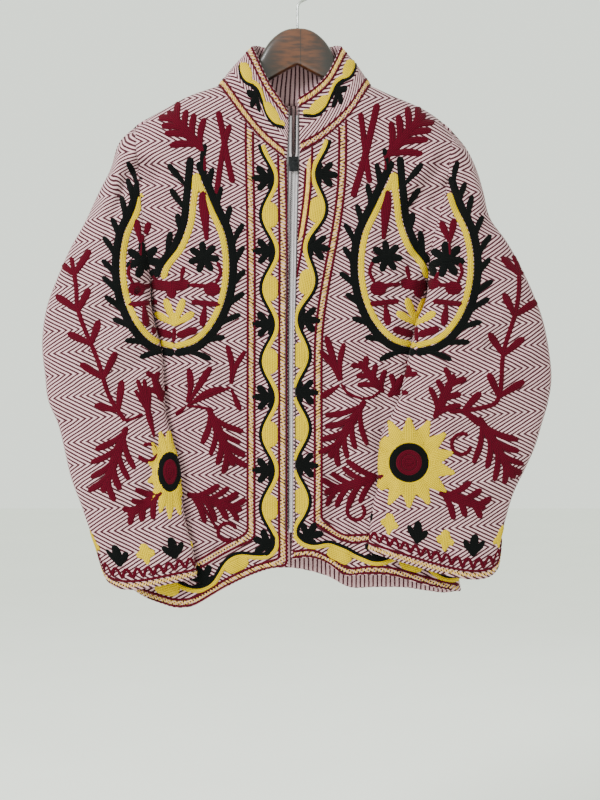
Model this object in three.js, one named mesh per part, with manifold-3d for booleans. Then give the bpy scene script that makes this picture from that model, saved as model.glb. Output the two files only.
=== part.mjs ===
// A short embroidered jacket with a stand collar and a zip, hanging on a wooden hanger.
// Units are millimetres. The origin is inside the crown of the hanger's hook, where a rail holds it.
// +X is the viewer's right, +Y goes away from the viewer and +Z is up, so drops below the hook are negative.
import * as THREE from "three";
import Module from "manifold-3d";

const wasm = await Module();
wasm.setup();
const { Manifold, Mesh } = wasm;

const WALL = 2.2; // cloth, with its wool stitching
const SEAM = 0.2; // each piece stops this far from the seam line
const SLEEVE_GAP = 2;
const FRONT_DEPTH = 36;
const BACK_DEPTH = 28;
const SHOULDER_ROUND = 42;
const SIDE_ROUND = 60;

// Corners of the cut pieces in the front view, x and z.
const corner = {
  left: {
    throat: [-14.3, -257],
    neck: [-105.3, -153.8],
    shoulder: [-213.9, -206.8],
    underarm: [-195.4, -441.2],
    hemSide: [-223.2, -814.6],
    hemCentre: [-12.6, -787.1],
  },
  right: {
    throat: [3.2, -246.6],
    neck: [97.3, -153.8],
    shoulder: [204.5, -213.4],
    underarm: [171, -446],
    hemSide: [216.4, -821.2],
    hemCentre: [-7.7, -776.7],
  },
};

// Points that each edge passes on its way between two corners, x and z.
const edgeVia = {
  left: {
    centre: [[-13, -309.1], [-12.4, -387.3], [-12.9, -511], [-12.9, -634.7], [-13, -738.9]],
    neck: [[-46.5, -230.4], [-75.3, -196.4]],
    shoulder: [[-145, -167.7], [-172.9, -183], [-202, -198.9]],
    armhole: [[-210.3, -244.4], [-207, -282.3], [-203.1, -321.5], [-198.5, -369.8], [-192.7, -412.9]],
    backArmhole: [[-217.2, -255.6], [-213.2, -315.7], [-205.2, -382.5]],
    side: [[-191.4, -490.2], [-195.4, -569.6], [-208.6, -702]],
    hem: [
      [-34.5, -788.4], [-60.6, -797.5], [-93.8, -813.2], [-127, -832.7], [-137.4, -837.2],
      [-157.6, -839.2], [-177.8, -834], [-197.3, -827.5], [-211, -821],
    ],
  },
  right: {
    centre: [[2.3, -283.1], [0.1, -361.2], [-2.5, -439.4], [-4.6, -511], [-4.6, -621.7], [-5.1, -738.9]],
    neck: [[32.1, -230.4], [70, -196.4]],
    shoulder: [[126.4, -167.1], [163.5, -183], [186, -197.5]],
    armhole: [[199.2, -256.2], [194.6, -294], [187.4, -322.8], [179.6, -350.2], [173.9, -380.2], [171.2, -412.9]],
    backArmhole: [[206.3, -255.6], [202.3, -315.7], [188.6, -385]],
    side: [[169.5, -490.2], [176, -569.6], [196, -702]],
    hem: [[11.1, -774.1], [30.6, -778], [42.3, -784.5], [61.9, -797.5], [87.9, -796.2], [120.5, -797.5],
      [159.5, -807.9], [194.7, -817]],
  },
};
const backNeckVia = [[-77.1, -165.4], [-39.6, -173.4], [-0.8, -176.1], [35.4, -173.4], [70.2, -165.4]];
const backHemVia = [
  [-197.5, -815.9], [-144, -807.9], [-77.1, -797.1], [-10.1, -793.1], [38.1, -803.8],
  [70.2, -819.9], [106.3, -819.9], [142.5, -819.9], [171.9, -823.9], [197.3, -826],
];

// Soft folds of the body: a line from x0, z0 to x1, z1, its width, and its height towards the outside.
const frontFolds = [
  { x0: 36, z0: -800, x1: 60, z1: -640, width: 17, height: -5 },
  { x0: 100, z0: -815, x1: 92, z1: -620, width: 26, height: 4 },
  { x0: -135, z0: -850, x1: -112, z1: -660, width: 26, height: 5 },
  { x0: -70, z0: -800, x1: -72, z1: -620, width: 22, height: -4 },
  { x0: -150, z0: -430, x1: -70, z1: -560, width: 16, height: -3.5 },
  { x0: 135, z0: -430, x1: 66, z1: -560, width: 16, height: -3.5 },
];
const backFolds = [
  { x0: -100, z0: -830, x1: -90, z1: -520, width: 30, height: 5 },
  { x0: 5, z0: -830, x1: 0, z1: -560, width: 28, height: -4 },
  { x0: 95, z0: -840, x1: 88, z1: -520, width: 30, height: 5 },
  { x0: -150, z0: -400, x1: -60, z1: -520, width: 20, height: -4 },
  { x0: 140, z0: -410, x1: 55, z1: -540, width: 20, height: -4 },
];

// Sleeve sections from armhole to cuff. Each row holds the outer fold (x, y, z), the inner fold (x, y, z),
// and how far the section swells to the front and to the back of the line between them.
const sleeveSections = {
  left: [
    [-213.9, 0, -206.8, -195.4, 0, -441.2, 31, 24],
    [-236.2, -2, -229.6, -192.2, -6, -450.8, 31, 22],
    [-247.1, -5, -264.4, -189.1, -11, -461.6, 30, 20],
    [-261.9, -8, -295.2, -186, -16, -473.6, 28, 18],
    [-280, -11, -335.1, -182.4, -20, -485.6, 26, 16],
    [-300.7, -14, -373.6, -178.8, -24, -498.9, 24, 15],
    [-317.3, -17, -413.3, -175.9, -27, -514.7, 23, 14],
    [-330, -20, -451.5, -174.4, -30, -534.3, 22, 13.5],
    [-334.8, -23, -496.2, -173.5, -33, -556.6, 21, 13],
    [-330.4, -26, -536.9, -171.9, -36, -582.6, 20, 12.5],
    [-326, -29, -569.6, -165.8, -40, -608.6, 19, 12],
    [-312.5, -32, -600.9, -159, -43, -630.6, 18, 11.5],
    [-303.6, -35, -634.8, -153, -45, -657.8, 17, 11],
    [-294.7, -38, -671.1, -150.3, -46.5, -685, 16, 10.5],
    [-282.8, -40, -702.2, -147.7, -47.5, -712.1, 15, 10],
    [-272.1, -42, -731.9, -142.5, -48, -736.7, 14.5, 9.5],
    [-261.5, -44, -759, -135.3, -48.5, -761.2, 14, 9],
    [-254.2, -45, -777.1, -130.1, -49, -798.7, 14, 9],
  ],
  right: [
    [204.5, 0, -213.4, 171, 0, -446, 31, 24],
    [222.8, -2, -236.2, 167, -12, -449.5, 31, 22],
    [235.8, -5, -263.1, 162.5, -21, -454.5, 30, 20],
    [245.3, -8, -295.2, 158.3, -28, -461, 28, 18],
    [253.6, -11, -329.8, 154.8, -32, -469.5, 26, 16],
    [275.6, -14, -361.7, 151.6, -35, -481.5, 24, 15],
    [293.6, -17, -394.9, 148, -37.5, -496.5, 23, 14],
    [309, -20, -429.2, 144.3, -39.5, -512.4, 22, 13.5],
    [321.6, -23, -464.8, 141, -41, -530.6, 21, 13],
    [329, -26, -504.2, 135.7, -42.5, -551.4, 20, 12.5],
    [331.9, -29, -540.9, 130.4, -44, -570.9, 19, 12],
    [326.8, -32, -573.5, 121.2, -46, -590.3, 18, 11.5],
    [317.9, -35, -602.2, 110.8, -47.5, -609.8, 17, 11],
    [308.4, -38, -632.1, 105.6, -48, -633.1, 16, 10.5],
    [295.1, -40, -660.6, 104.3, -48.5, -658.9, 15.5, 10],
    [281.2, -42, -689.1, 102.9, -49, -683.5, 15, 9.5],
    [272, -43, -717.6, 97.1, -49, -705.5, 14.5, 9],
    [265.4, -44, -746.1, 93.9, -49, -734, 14, 9],
    [263.3, -45, -771.9, 91.8, -49, -765.1, 14, 9],
  ],
};
const CUFF_SAG = { left: 31, right: 30 };

// Top edge of the stand collar, x, y and z, in three runs from the left throat to the right one.
const collarTop = {
  left: [[-11.1, -35, -194.3], [-21.5, -34, -178.5], [-37.2, -30, -154.3], [-49.9, -20, -126.1], [-59.5, -4, -102.4]],
  back: [
    [-59.5, -4, -102.4], [-55.3, 10, -98.7], [-34.2, 23, -101.3], [-2.1, 28, -104.3],
    [30, 23, -101.3], [52.5, 10, -98.7], [57.4, -4, -102.4],
  ],
  right: [[57.4, -4, -102.4], [49.2, -20, -123.5], [37.2, -30, -146.4], [18.9, -35, -164.4], [0.6, -36, -176.3]],
};

// Centre line of the zip, x and z.
const zipCentre = [
  [-4.6, -190], [-5.1, -244], [-5.5, -271.3], [-7.4, -361.2], [-9.2, -477.1],
  [-9.3, -543.6], [-9.1, -620.4], [-9.3, -682.9], [-9.4, -737.6],
];
const ZIP_BOTTOM = -742;
const SLIDER_TOP = -252.5;

// Wooden hanger, half of it: x, top z, bottom z and half thickness.
const hangerSections = [
  [0, -77.5, -126.3, 8.5],
  [10, -78.2, -131.7, 8.5],
  [20, -81.5, -137.2, 8.6],
  [29.6, -88.1, -142.5, 8.8],
  [37, -95.5, -146.8, 9],
  [42.5, -103.5, -150.6, 9],
  [47, -111.5, -154.5, 9],
  [60, -127.5, -165, 9],
  [75, -144.5, -177, 9],
  [90, -158.5, -188, 9],
  [105, -165.5, -198, 9],
  [126, -175, -208, 10],
  [145, -183.5, -216, 11],
  [163, -192, -224, 12.5],
  [178, -202, -231, 13],
  [189, -211, -235, 11],
  [194, -218, -232, 7],
];

// Counts of steps along the seams. Pieces that meet at a seam share its steps.
const steps = { neck: 6, shoulder: 8, armhole: 10, side: 14, backNeck: 12, collarHeight: 4, sleeve: 24 };

const lerp = (a, b, t) => a + (b - a) * t;
const mix = (p, q, t) => p.map((value, i) => lerp(value, q[i], t));
const minus = (p, q) => p.map((value, i) => value - q[i]);
const plus = (p, q, scale = 1) => p.map((value, i) => value + q[i] * scale);
const dot = (p, q) => p.reduce((sum, value, i) => sum + value * q[i], 0);
const length = (p) => Math.hypot(...p);
const unit = (p) => p.map((value) => value / (length(p) || 1));
const cross = (a, b) => [a[1] * b[2] - a[2] * b[1], a[2] * b[0] - a[0] * b[2], a[0] * b[1] - a[1] * b[0]];
const clamp = (value, low = 0, high = 1) => Math.min(high, Math.max(low, value));
const sum = (list) => list.reduce((total, value) => total + value, 0);

// A smooth curve through points: a function of the share of its length.
function curve(points) {
  const at = [0];
  for (let i = 1; i < points.length; i += 1) at.push(at[i - 1] + length(minus(points[i], points[i - 1])));
  const total = at[at.length - 1];
  const slope = points.map((point, i) => {
    const a = Math.max(0, i - 1);
    const b = Math.min(points.length - 1, i + 1);
    return minus(points[b], points[a]).map((value) => value / (at[b] - at[a]));
  });
  const sample = (share) => {
    const want = clamp(share) * total;
    let i = 0;
    while (i < points.length - 2 && at[i + 1] < want) i += 1;
    const span = at[i + 1] - at[i];
    const t = (want - at[i]) / span;
    const h00 = 2 * t ** 3 - 3 * t ** 2 + 1;
    const h10 = t ** 3 - 2 * t ** 2 + t;
    const h01 = -2 * t ** 3 + 3 * t ** 2;
    const h11 = t ** 3 - t ** 2;
    return points[i].map(
      (value, k) =>
        h00 * value + h10 * span * slope[i][k] + h01 * points[i + 1][k] + h11 * span * slope[i + 1][k],
    );
  };
  sample.total = total;
  return sample;
}

const even = (count) => Array.from({ length: count + 1 }, (_, i) => i / count);
const closingOn = (count, power) => even(count).map((t) => 1 - (1 - t) ** power);
const bothEnds = (count) => even(count).map((t) => 0.5 * t + 0.25 * (1 - Math.cos(Math.PI * t)));
const sampled = (line, shares) => shares.map((t) => line(t));

// Value of one coordinate on a polyline at a value of the other.
function lookUp(points, from, to, value) {
  for (let i = 1; i < points.length; i += 1) {
    const a = points[i - 1][from];
    const b = points[i][from];
    if ((value - a) * (value - b) <= 0 && a !== b) {
      return lerp(points[i - 1][to], points[i][to], (value - a) / (b - a));
    }
  }
  const first = Math.abs(value - points[0][from]) < Math.abs(value - points[points.length - 1][from]);
  return points[first ? 0 : points.length - 1][to];
}

// Edge lines of one half of the body in the front view.
function halfEdges(side) {
  const c = corner[side];
  const via = edgeVia[side];
  const line = (from, list, to) => curve([c[from], ...list, c[to]]);
  return {
    centre: line("throat", via.centre, "hemCentre"),
    neck: line("throat", via.neck, "neck"),
    shoulder: line("neck", via.shoulder, "shoulder"),
    armhole: line("shoulder", via.armhole, "underarm"),
    backArmhole: line("shoulder", via.backArmhole, "underarm"),
    side: line("underarm", via.side, "hemSide"),
    hem: line("hemCentre", via.hem, "hemSide"),
  };
}
const edges = { left: halfEdges("left"), right: halfEdges("right") };

// Height of the shoulder ridge over x on one side, carried on past the neck.
function ridgeZ(side, x) {
  const { neck, shoulder } = corner[side];
  const past = side === "left" ? x > neck[0] : x < neck[0];
  if (past) return neck[1] + 0.35 * Math.abs(x - neck[0]);
  if (Math.abs(x) > Math.abs(shoulder[0])) return shoulder[1];
  return lookUp(sampled(edges[side].shoulder, even(40)), 0, 1, x);
}

// How much a point belongs to the rounded rim of the body: 0 on the flat, 1 on a fold or a seam ridge.
function rim(side, x, z, armLine) {
  const c = corner[side];
  const top = clamp(1 - (ridgeZ(side, x) - z) / SHOULDER_ROUND);
  const line = z > c.underarm[1] ? edges[side][armLine] : edges[side].side;
  const edgeX = z > c.shoulder[1] ? c.shoulder[0] : lookUp(sampled(line, even(40)), 1, 0, z);
  const down = clamp((c.shoulder[1] - z) / (c.shoulder[1] - c.underarm[1]));
  const low = clamp((down - 0.55) / 0.45);
  const full = down >= 1 ? 1 : lerp(0.5, 1, low * low * (3 - 2 * low));
  const lateral = full * clamp(1 - Math.abs(x - edgeX) / SIDE_ROUND);
  return clamp(Math.hypot(top, lateral));
}

function foldHeight(folds, x, z) {
  return sum(
    folds.map((f) => {
      const run = [f.x1 - f.x0, f.z1 - f.z0];
      const t = clamp(((x - f.x0) * run[0] + (z - f.z0) * run[1]) / dot(run, run));
      const away = Math.hypot(x - f.x0 - run[0] * t, z - f.z0 - run[1] * t);
      return f.height * Math.exp(-((away / f.width) ** 2));
    }),
  );
}

function frontY(side, x, z) {
  const flat = Math.sqrt(1 - rim(side, x, z, "armhole") ** 2);
  return -flat * (FRONT_DEPTH + foldHeight(frontFolds, x, z));
}

function backY(x, z) {
  const r = Math.max(rim("left", x, z, "backArmhole"), rim("right", x, z, "backArmhole"));
  return Math.sqrt(1 - r * r) * (BACK_DEPTH + foldHeight(backFolds, x, z));
}

// Fills a four-sided outline: columns follow top and bottom, rows follow the two sides.
function filled(top, bottom, start, end) {
  const share = (list) => {
    const at = [0];
    for (let i = 1; i < list.length; i += 1) at.push(at[i - 1] + length(minus(list[i], list[i - 1])));
    return at.map((value) => value / at[at.length - 1]);
  };
  const us = share(top);
  const vs = share(end);
  return top.map((_, i) =>
    end.map((__, j) => {
      const u = us[i];
      const v = vs[j];
      return [0, 1].map(
        (k) =>
          (1 - v) * top[i][k] + v * bottom[i][k] + (1 - u) * start[j][k] + u * end[j][k] -
          ((1 - u) * (1 - v) * top[0][k] + u * (1 - v) * top[top.length - 1][k] +
            (1 - u) * v * bottom[0][k] + u * v * bottom[bottom.length - 1][k]),
      );
    }),
  );
}

function shares(list) {
  const at = [0];
  for (let i = 1; i < list.length; i += 1) at.push(at[i - 1] + length(minus(list[i], list[i - 1])));
  return at.map((value) => value / at[at.length - 1]);
}

const shoulderShares = closingOn(steps.shoulder, 1.3);
const armShares = bothEnds(steps.armhole);

function frontGrid(side) {
  const e = edges[side];
  const top = [
    ...sampled(e.neck, even(steps.neck)),
    ...sampled(e.shoulder, shoulderShares).slice(1),
  ];
  const end = [...sampled(e.armhole, armShares), ...sampled(e.side, even(steps.side)).slice(1)];
  const bottom = sampled(e.hem, shares(top));
  const start = sampled(e.centre, shares(end));
  return filled(top, bottom, start, end).map((column, i) =>
    column.map(([x, z], j) => {
      const onRidge = (j === 0 && i >= steps.neck) || (i === top.length - 1 && j >= steps.armhole);
      return [x, onRidge ? 0 : frontY(side, x, z), z];
    }),
  );
}

function backGrid() {
  const backNeck = curve([corner.left.neck, ...backNeckVia, corner.right.neck]);
  const backHem = curve([corner.left.hemSide, ...backHemVia, corner.right.hemSide]);
  const top = [
    ...sampled(edges.left.shoulder, shoulderShares).reverse(),
    ...sampled(backNeck, even(steps.backNeck)).slice(1, -1),
    ...sampled(edges.right.shoulder, shoulderShares),
  ];
  const [start, end] = ["left", "right"].map((side) => [
    ...sampled(edges[side].backArmhole, armShares),
    ...sampled(edges[side].side, even(steps.side)).slice(1),
  ]);
  const bottom = sampled(backHem, shares(top));
  const last = top.length - 1;
  return filled(top, bottom, start, end).map((column, i) =>
    column.map(([x, z], j) => {
      const onShoulder = j === 0 && (i <= steps.shoulder || i >= last - steps.shoulder);
      const onSide = (i === 0 || i === last) && j >= steps.armhole;
      return [x, onShoulder || onSide ? 0 : backY(x, z), z];
    }),
  );
}

// Front of the body at a point below the underarm, or far back where there is no body.
function frontLimit(side, x, z) {
  const { underarm } = corner[side];
  const above = Math.max(0, z - underarm[1]);
  const edgeX = lookUp(sampled(edges[side].side, even(40)), 1, 0, z);
  const outside = Math.abs(x) - Math.abs(edgeX);
  if (above > 30 || outside > 30) return 1000;
  const body = outside < 0 ? frontY(side, x, Math.min(z, underarm[1])) : 0;
  return body + above * 0.8 + Math.max(0, outside) * 2;
}

// Rings of one sleeve, from the armhole's own points down to the cuff.
function sleeveGrid(side, frontArm, backArm) {
  const rows = sleeveSections[side];
  const count = rows.length - 1;
  const rowAt = (share) => {
    const place = clamp(share) * count;
    const i = Math.min(count - 1, Math.floor(place));
    const before = rows[Math.max(0, i - 1)];
    const after = rows[Math.min(count, i + 2)];
    const t = place - i;
    return rows[i].map((value, k) => {
      const next = rows[i + 1][k];
      const m0 = (next - before[k]) / (i > 0 ? 2 : 1);
      const m1 = (after[k] - value) / (i + 2 <= count ? 2 : 1);
      const h = [2 * t ** 3 - 3 * t ** 2 + 1, t ** 3 - 2 * t ** 2 + t, -2 * t ** 3 + 3 * t ** 2, t ** 3 - t ** 2];
      return h[0] * value + h[1] * m0 + h[2] * next + h[3] * m1;
    });
  };
  const n = steps.armhole;
  const ring = (share) => {
    const [ox, oy, oz, ix, iy, iz, front, back] = rowAt(share);
    const sag = CUFF_SAG[side] * clamp((share - 0.8) / 0.2) ** 2;
    return Array.from({ length: 2 * n }, (_, k) => {
      const onFront = k <= n;
      const s = armShares[onFront ? k : 2 * n - k];
      const swell = (1 - Math.abs(2 * s - 1) ** 2.4) ** (1 / 2.4);
      const y = lerp(oy, iy, s) + swell * (onFront ? -front : back);
      const drop = Math.sin(Math.PI * s ** 0.45) * sag * (onFront ? 1 : 0.35);
      return [lerp(ox, ix, s), y, lerp(oz, iz, s) - drop];
    });
  };
  const armhole = Array.from({ length: 2 * n }, (_, k) => (k <= n ? frontArm[k] : backArm[2 * n - k]));
  const first = ring(0);
  const grid = even(steps.sleeve).map((share) => {
    const keep = clamp(1 - share / 0.26) ** 1.6;
    return ring(share).map((point, k) => plus(point, minus(armhole[k], first[k]), keep));
  });
  // The sleeve hangs in front of the body's side and stays just clear of it.
  grid.slice(1).forEach((row) => {
    const limit = row.map(([x, , z]) => frontLimit(side, x, z));
    for (let k = n; k < 2 * n; k += 1) row[k][1] = Math.min(row[k][1], limit[k] - SLEEVE_GAP);
    for (let k = 1; k < n; k += 1) row[k][1] = Math.min(row[k][1], row[2 * n - k][1] - 5);
  });
  return Array.from({ length: 2 * n }, (_, k) => grid.map((row) => row[k]));
}

function collarGrid(left, back, right) {
  const n = steps.neck;
  const s = steps.shoulder;
  const bottom = [
    ...left.slice(0, n + 1).map((column) => column[0]),
    ...back.slice(s + 1, s + steps.backNeck).map((column) => column[0]),
    ...right.slice(0, n + 1).map((column) => column[0]).reverse(),
  ];
  const top = [
    ...sampled(curve(collarTop.left), even(n)),
    ...sampled(curve(collarTop.back), even(steps.backNeck)).slice(1),
    ...sampled(curve(collarTop.right), even(n)).slice(1),
  ];
  return bottom.map((low, i) =>
    even(steps.collarHeight).map((t) => {
      const point = mix(low, top[i], t);
      const outward = unit([point[0], point[1] * 1.4, 0]);
      const fromEdge = clamp(Math.min(i, bottom.length - 1 - i) / 4);
      return plus(point, outward, 2.5 * fromEdge * Math.sin(Math.PI * t));
    }),
  );
}

// Outward directions of a grid of points. A closed grid wraps from its last column to its first,
// and its wall is measured in the plane of each ring.
function directions(grid, closed, outward) {
  const columns = grid.length;
  return grid.map((column, i) =>
    column.map((_, j) => {
      const before = closed ? (i + columns - 1) % columns : Math.max(0, i - 1);
      const after = closed ? (i + 1) % columns : Math.min(columns - 1, i + 1);
      const across = minus(grid[after][j], grid[before][j]);
      const along = closed
        ? cross(minus(grid[columns / 2][j], grid[0][j]), [0, 1, 0])
        : minus(column[Math.min(column.length - 1, j + 1)], column[Math.max(0, j - 1)]);
      const normal = unit(cross(across, along));
      return normal.map((value) => value * outward);
    }),
  );
}

const pieces = {};
const frontLeft = frontGrid("left");
const frontRight = frontGrid("right");
const back = backGrid();
const lastFront = frontLeft.length - 1;
const lastBack = back.length - 1;
pieces.front_left = { grid: frontLeft, seams: ["first_row", "last_column"] };
pieces.front_right = { grid: frontRight, seams: ["first_row", "last_column"] };
pieces.back = { grid: back, seams: ["first_row", "first_column", "last_column"] };
pieces.sleeve_left = {
  grid: sleeveGrid("left", frontLeft[lastFront], back[0]),
  closed: true,
  seams: ["first_row"],
  gap: 0.5,
};
pieces.sleeve_right = {
  grid: sleeveGrid("right", frontRight[lastFront], back[lastBack]),
  closed: true,
  seams: ["first_row"],
  gap: 0.5,
};
pieces.collar = { grid: collarGrid(frontLeft, back, frontRight), seams: ["first_row"], gap: 0.55 };

// A piece's outward side is told by one direction that its middle must face.
const facing = {
  front_left: [0, -1, 0],
  front_right: [0, -1, 0],
  back: [0, 1, 0],
  sleeve_left: [-1, 0, 0],
  sleeve_right: [1, 0, 0],
  collar: [-1, -1, 0],
};
// Under the arm the sleeve folds over the front, face to face, so its wall keeps its own direction there.
const foldsOver = (name, i, j) => name.startsWith("sleeve") && j === 0 && i >= 5 && i <= steps.armhole;
const keyOf = (point) => point.map((value) => Math.round(value * 100)).join(" ");
const shared = new Map();
for (const [name, piece] of Object.entries(pieces)) {
  const { grid, closed } = piece;
  const raw = directions(grid, closed, 1);
  const column = name === "collar" ? Math.floor(steps.neck / 2) : closed ? 0 : Math.floor(grid.length / 2);
  const row = Math.floor(grid[0].length / 2);
  const outward = Math.sign(dot(raw[column][row], facing[name]));
  piece.name = name;
  piece.normals = directions(grid, closed, outward);
  grid.forEach((list, i) =>
    list.forEach((point, j) => {
      if (foldsOver(name, i, j)) return;
      const key = keyOf(point);
      shared.set(key, plus(shared.get(key) ?? [0, 0, 0], piece.normals[i][j]));
    }),
  );
}

// Closed body from corner points and faces of three or four corners.
function meshOf(points, faces) {
  const triangles = faces.flatMap((f) => (f.length === 4 ? [[f[0], f[1], f[2]], [f[0], f[2], f[3]]] : [f]));
  const vertProperties = new Float32Array(points.flat());
  const body = (list) =>
    new Manifold(new Mesh({ numProp: 3, vertProperties, triVerts: new Uint32Array(list.flat()) }));
  const made = body(triangles);
  return made.volume() > 0 ? made : body(triangles.map(([a, b, c]) => [a, c, b]));
}

// Gives a grid its wall, with the seam edges drawn back by the seam gap.
function clothBody({ name, grid, closed, seams, normals, gap = SEAM }) {
  const columns = grid.length;
  const rows = grid[0].length;
  const on = (name) => seams.includes(name);
  const points = [];
  grid.forEach((column, i) =>
    column.forEach((point, j) => {
      const normal = foldsOver(name, i, j) ? normals[i][j] : unit(shared.get(keyOf(point)));
      const back = (neighbour) => {
        const step = minus(neighbour, point);
        return unit(plus(step, normal, -dot(step, normal)));
      };
      let outer = point;
      const sideways = unit([Math.sign(point[0]), -0.6, 0]);
      if (j === 0 && on("first_row")) {
        outer = plus(outer, foldsOver(name, i, j) ? sideways : back(column[1]), gap);
      }
      if (i === 0 && on("first_column")) outer = plus(outer, back(grid[1][j]), gap);
      if (i === columns - 1 && on("last_column")) outer = plus(outer, back(grid[columns - 2][j]), gap);
      points.push(outer, plus(outer, normal, -WALL));
    }),
  );
  const at = (i, j, inside) => 2 * (((i + columns) % columns) * rows + j) + (inside ? 1 : 0);
  const faces = [];
  const quad = (...list) => faces.push(list);
  // A rim's faces are split on the same diagonal on both sides of a seam.
  const rimQuad = (outerA, outerB, innerB, innerA) => {
    const [xa, , za] = points[outerA];
    const [xb, , zb] = points[outerB];
    const order = Math.abs(za - zb) > 0.5 ? za > zb : xa < xb;
    if (order) quad(outerA, outerB, innerB, innerA);
    else quad(outerB, innerB, innerA, outerA);
  };
  const spans = closed ? columns : columns - 1;
  for (let i = 0; i < spans; i += 1) {
    for (let j = 0; j < rows - 1; j += 1) {
      quad(at(i, j), at(i + 1, j), at(i + 1, j + 1), at(i, j + 1));
      quad(at(i, j + 1, 1), at(i + 1, j + 1, 1), at(i + 1, j, 1), at(i, j, 1));
    }
    rimQuad(at(i + 1, 0), at(i, 0), at(i, 0, 1), at(i + 1, 0, 1));
    rimQuad(at(i, rows - 1), at(i + 1, rows - 1), at(i + 1, rows - 1, 1), at(i, rows - 1, 1));
  }
  if (!closed) {
    for (let j = 0; j < rows - 1; j += 1) {
      rimQuad(at(0, j), at(0, j + 1), at(0, j + 1, 1), at(0, j, 1));
      rimQuad(at(columns - 1, j + 1), at(columns - 1, j), at(columns - 1, j, 1), at(columns - 1, j + 1, 1));
    }
  }
  return meshOf(points, faces);
}

// Sweeps a closed section through stations, each an equal list of points, and caps both ends.
function swept(stations) {
  const n = stations[0].length;
  const faces = [];
  for (let s = 0; s < stations.length - 1; s += 1) {
    for (let k = 0; k < n; k += 1) {
      const next = (k + 1) % n;
      faces.push([s * n + k, s * n + next, (s + 1) * n + next, (s + 1) * n + k]);
    }
  }
  const last = (stations.length - 1) * n;
  for (let k = 1; k < n - 1; k += 1) {
    faces.push([0, k + 1, k], [last, last + k, last + k + 1]);
  }
  return meshOf(stations.flat(), faces);
}

// Half of the zip on one side: a flat tape behind the front's edge and a half chain along the centre line.
function zipHalf(side) {
  const front = side === "left" ? frontLeft : frontRight;
  const collar = pieces.collar.grid;
  const collarColumn = side === "left" ? collar[0] : collar[collar.length - 1];
  const collarNext = side === "left" ? collar[1] : collar[collar.length - 2];
  const into = side === "left" ? -1 : 1;
  const edge = [];
  for (let j = steps.collarHeight; j > 0; j -= 1) edge.push([collarColumn[j], collarNext[j]]);
  front[0].forEach((point, j) => edge.push([point, front[1][j]]));
  const line = edge.map(([point]) => [point[0], point[1], point[2]]);
  const slopes = edge.map(([point, next]) => [(next[1] - point[1]) / (next[0] - point[0]), point[2]]);
  const bottom = ZIP_BOTTOM;
  const top = -199;
  return swept(
    even(34).map((t) => {
      const z = lerp(top, bottom, t);
      const x = lookUp(line, 2, 0, z);
      const y = lookUp(line, 2, 1, z);
      const slope = clamp(lookUp(slopes, 1, 0, z), -0.5, 0.5);
      const open = 3 * clamp((z - (SLIDER_TOP - 16)) / 18) + 0.15;
      const inner = lookUp(zipCentre, 1, 0, z) + into * open;
      const reach = x + into * 9;
      const behind = (px) => y + slope * (px - x) + WALL + 0.6;
      const beadFront = y + 0.7;
      return [
        [inner, beadFront, z],
        [inner + into * 1.5, beadFront, z],
        [inner + into * 1.5, y + WALL + 0.6, z],
        [reach, Math.max(behind(reach), y + WALL + 0.6), z],
        [reach, Math.max(behind(reach), y + WALL + 0.6) + 1, z],
        [inner, y + WALL + 1.6, z],
      ];
    }),
  );
}

const block = (x0, x1, y0, y1, z0, z1) =>
  Manifold.cube([x1 - x0, y1 - y0, z1 - z0]).translate([x0, y0, z0]);
const pinAlongX = (x0, x1, y, z, radius) =>
  Manifold.cylinder(x1 - x0, radius, radius, 20).rotate([0, 90, 0]).translate([x0, y, z]);

const ZIP_X = lookUp(zipCentre, 1, 0, SLIDER_TOP - 6);
const ZIP_Y = -FRONT_DEPTH;
const PIN = [ZIP_X, ZIP_Y - 3, SLIDER_TOP - 4];
const SLIDER_HALF = 6.3;
const TAB_HALF = 5.6;

// Slider: a plate before the chain, a plate behind the tapes and a bridge between the open halves.
function zipSlider() {
  const { union } = Manifold;
  const top = SLIDER_TOP;
  return union([
    block(ZIP_X - SLIDER_HALF, ZIP_X + SLIDER_HALF, ZIP_Y - 1.1, ZIP_Y + 0.25, top - 12, top),
    block(ZIP_X - 4.6, ZIP_X + 4.6, ZIP_Y + WALL + 2.3, ZIP_Y + WALL + 3.3, top - 12, top),
    block(ZIP_X - 0.9, ZIP_X + 0.9, ZIP_Y - 0.5, ZIP_Y + WALL + 2.8, top - 3, top),
    block(ZIP_X - 3.4, ZIP_X - 2.2, ZIP_Y - 4.2, ZIP_Y - 0.6, top - 5.6, top - 2.4),
    block(ZIP_X + 2.2, ZIP_X + 3.4, ZIP_Y - 4.2, ZIP_Y - 0.6, top - 5.6, top - 2.4),
    pinAlongX(ZIP_X - 2.8, ZIP_X + 2.8, PIN[1], PIN[2], 0.6),
  ]);
}

// Pull tab: a plate with an eye round the slider's pin.
function zipPull() {
  const [x, y, z] = PIN;
  const eye = pinAlongX(x - 1.7, x + 1.7, y, z, 1.7);
  const plate = block(x - 1.7, x + 1.7, y - 0.7, y + 0.7, z - 4, z);
  const tab = block(x - TAB_HALF, x + TAB_HALF, y - 0.7, y + 0.7, z - 15.5, z - 3.2);
  return Manifold.union([eye, plate, tab]).subtract(pinAlongX(x - 3, x + 3, y, z, 1));
}

// Wood of the hanger: rounded sections along x, with a hole for the hook's stem.
function hangerWood() {
  const half = hangerSections.slice(1);
  const rows = [...half.map(([x, ...rest]) => [-x, ...rest]).reverse(), ...hangerSections];
  const around = 14;
  const stations = rows.map(([x, top, bottom, depth]) =>
    Array.from({ length: around }, (_, k) => {
      const angle = (2 * Math.PI * (k + 0.5)) / around;
      const rounded = (value) => Math.sign(value) * Math.abs(value) ** 0.72;
      const y = depth * rounded(Math.cos(angle));
      const z = (top + bottom) / 2 + ((top - bottom) / 2) * rounded(Math.sin(angle));
      return [x, y, z];
    }),
  );
  const hole = Manifold.cylinder(30, 2.1, 2.1, 20).translate([0, 0, -92]);
  return swept(stations).subtract(hole);
}

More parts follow.
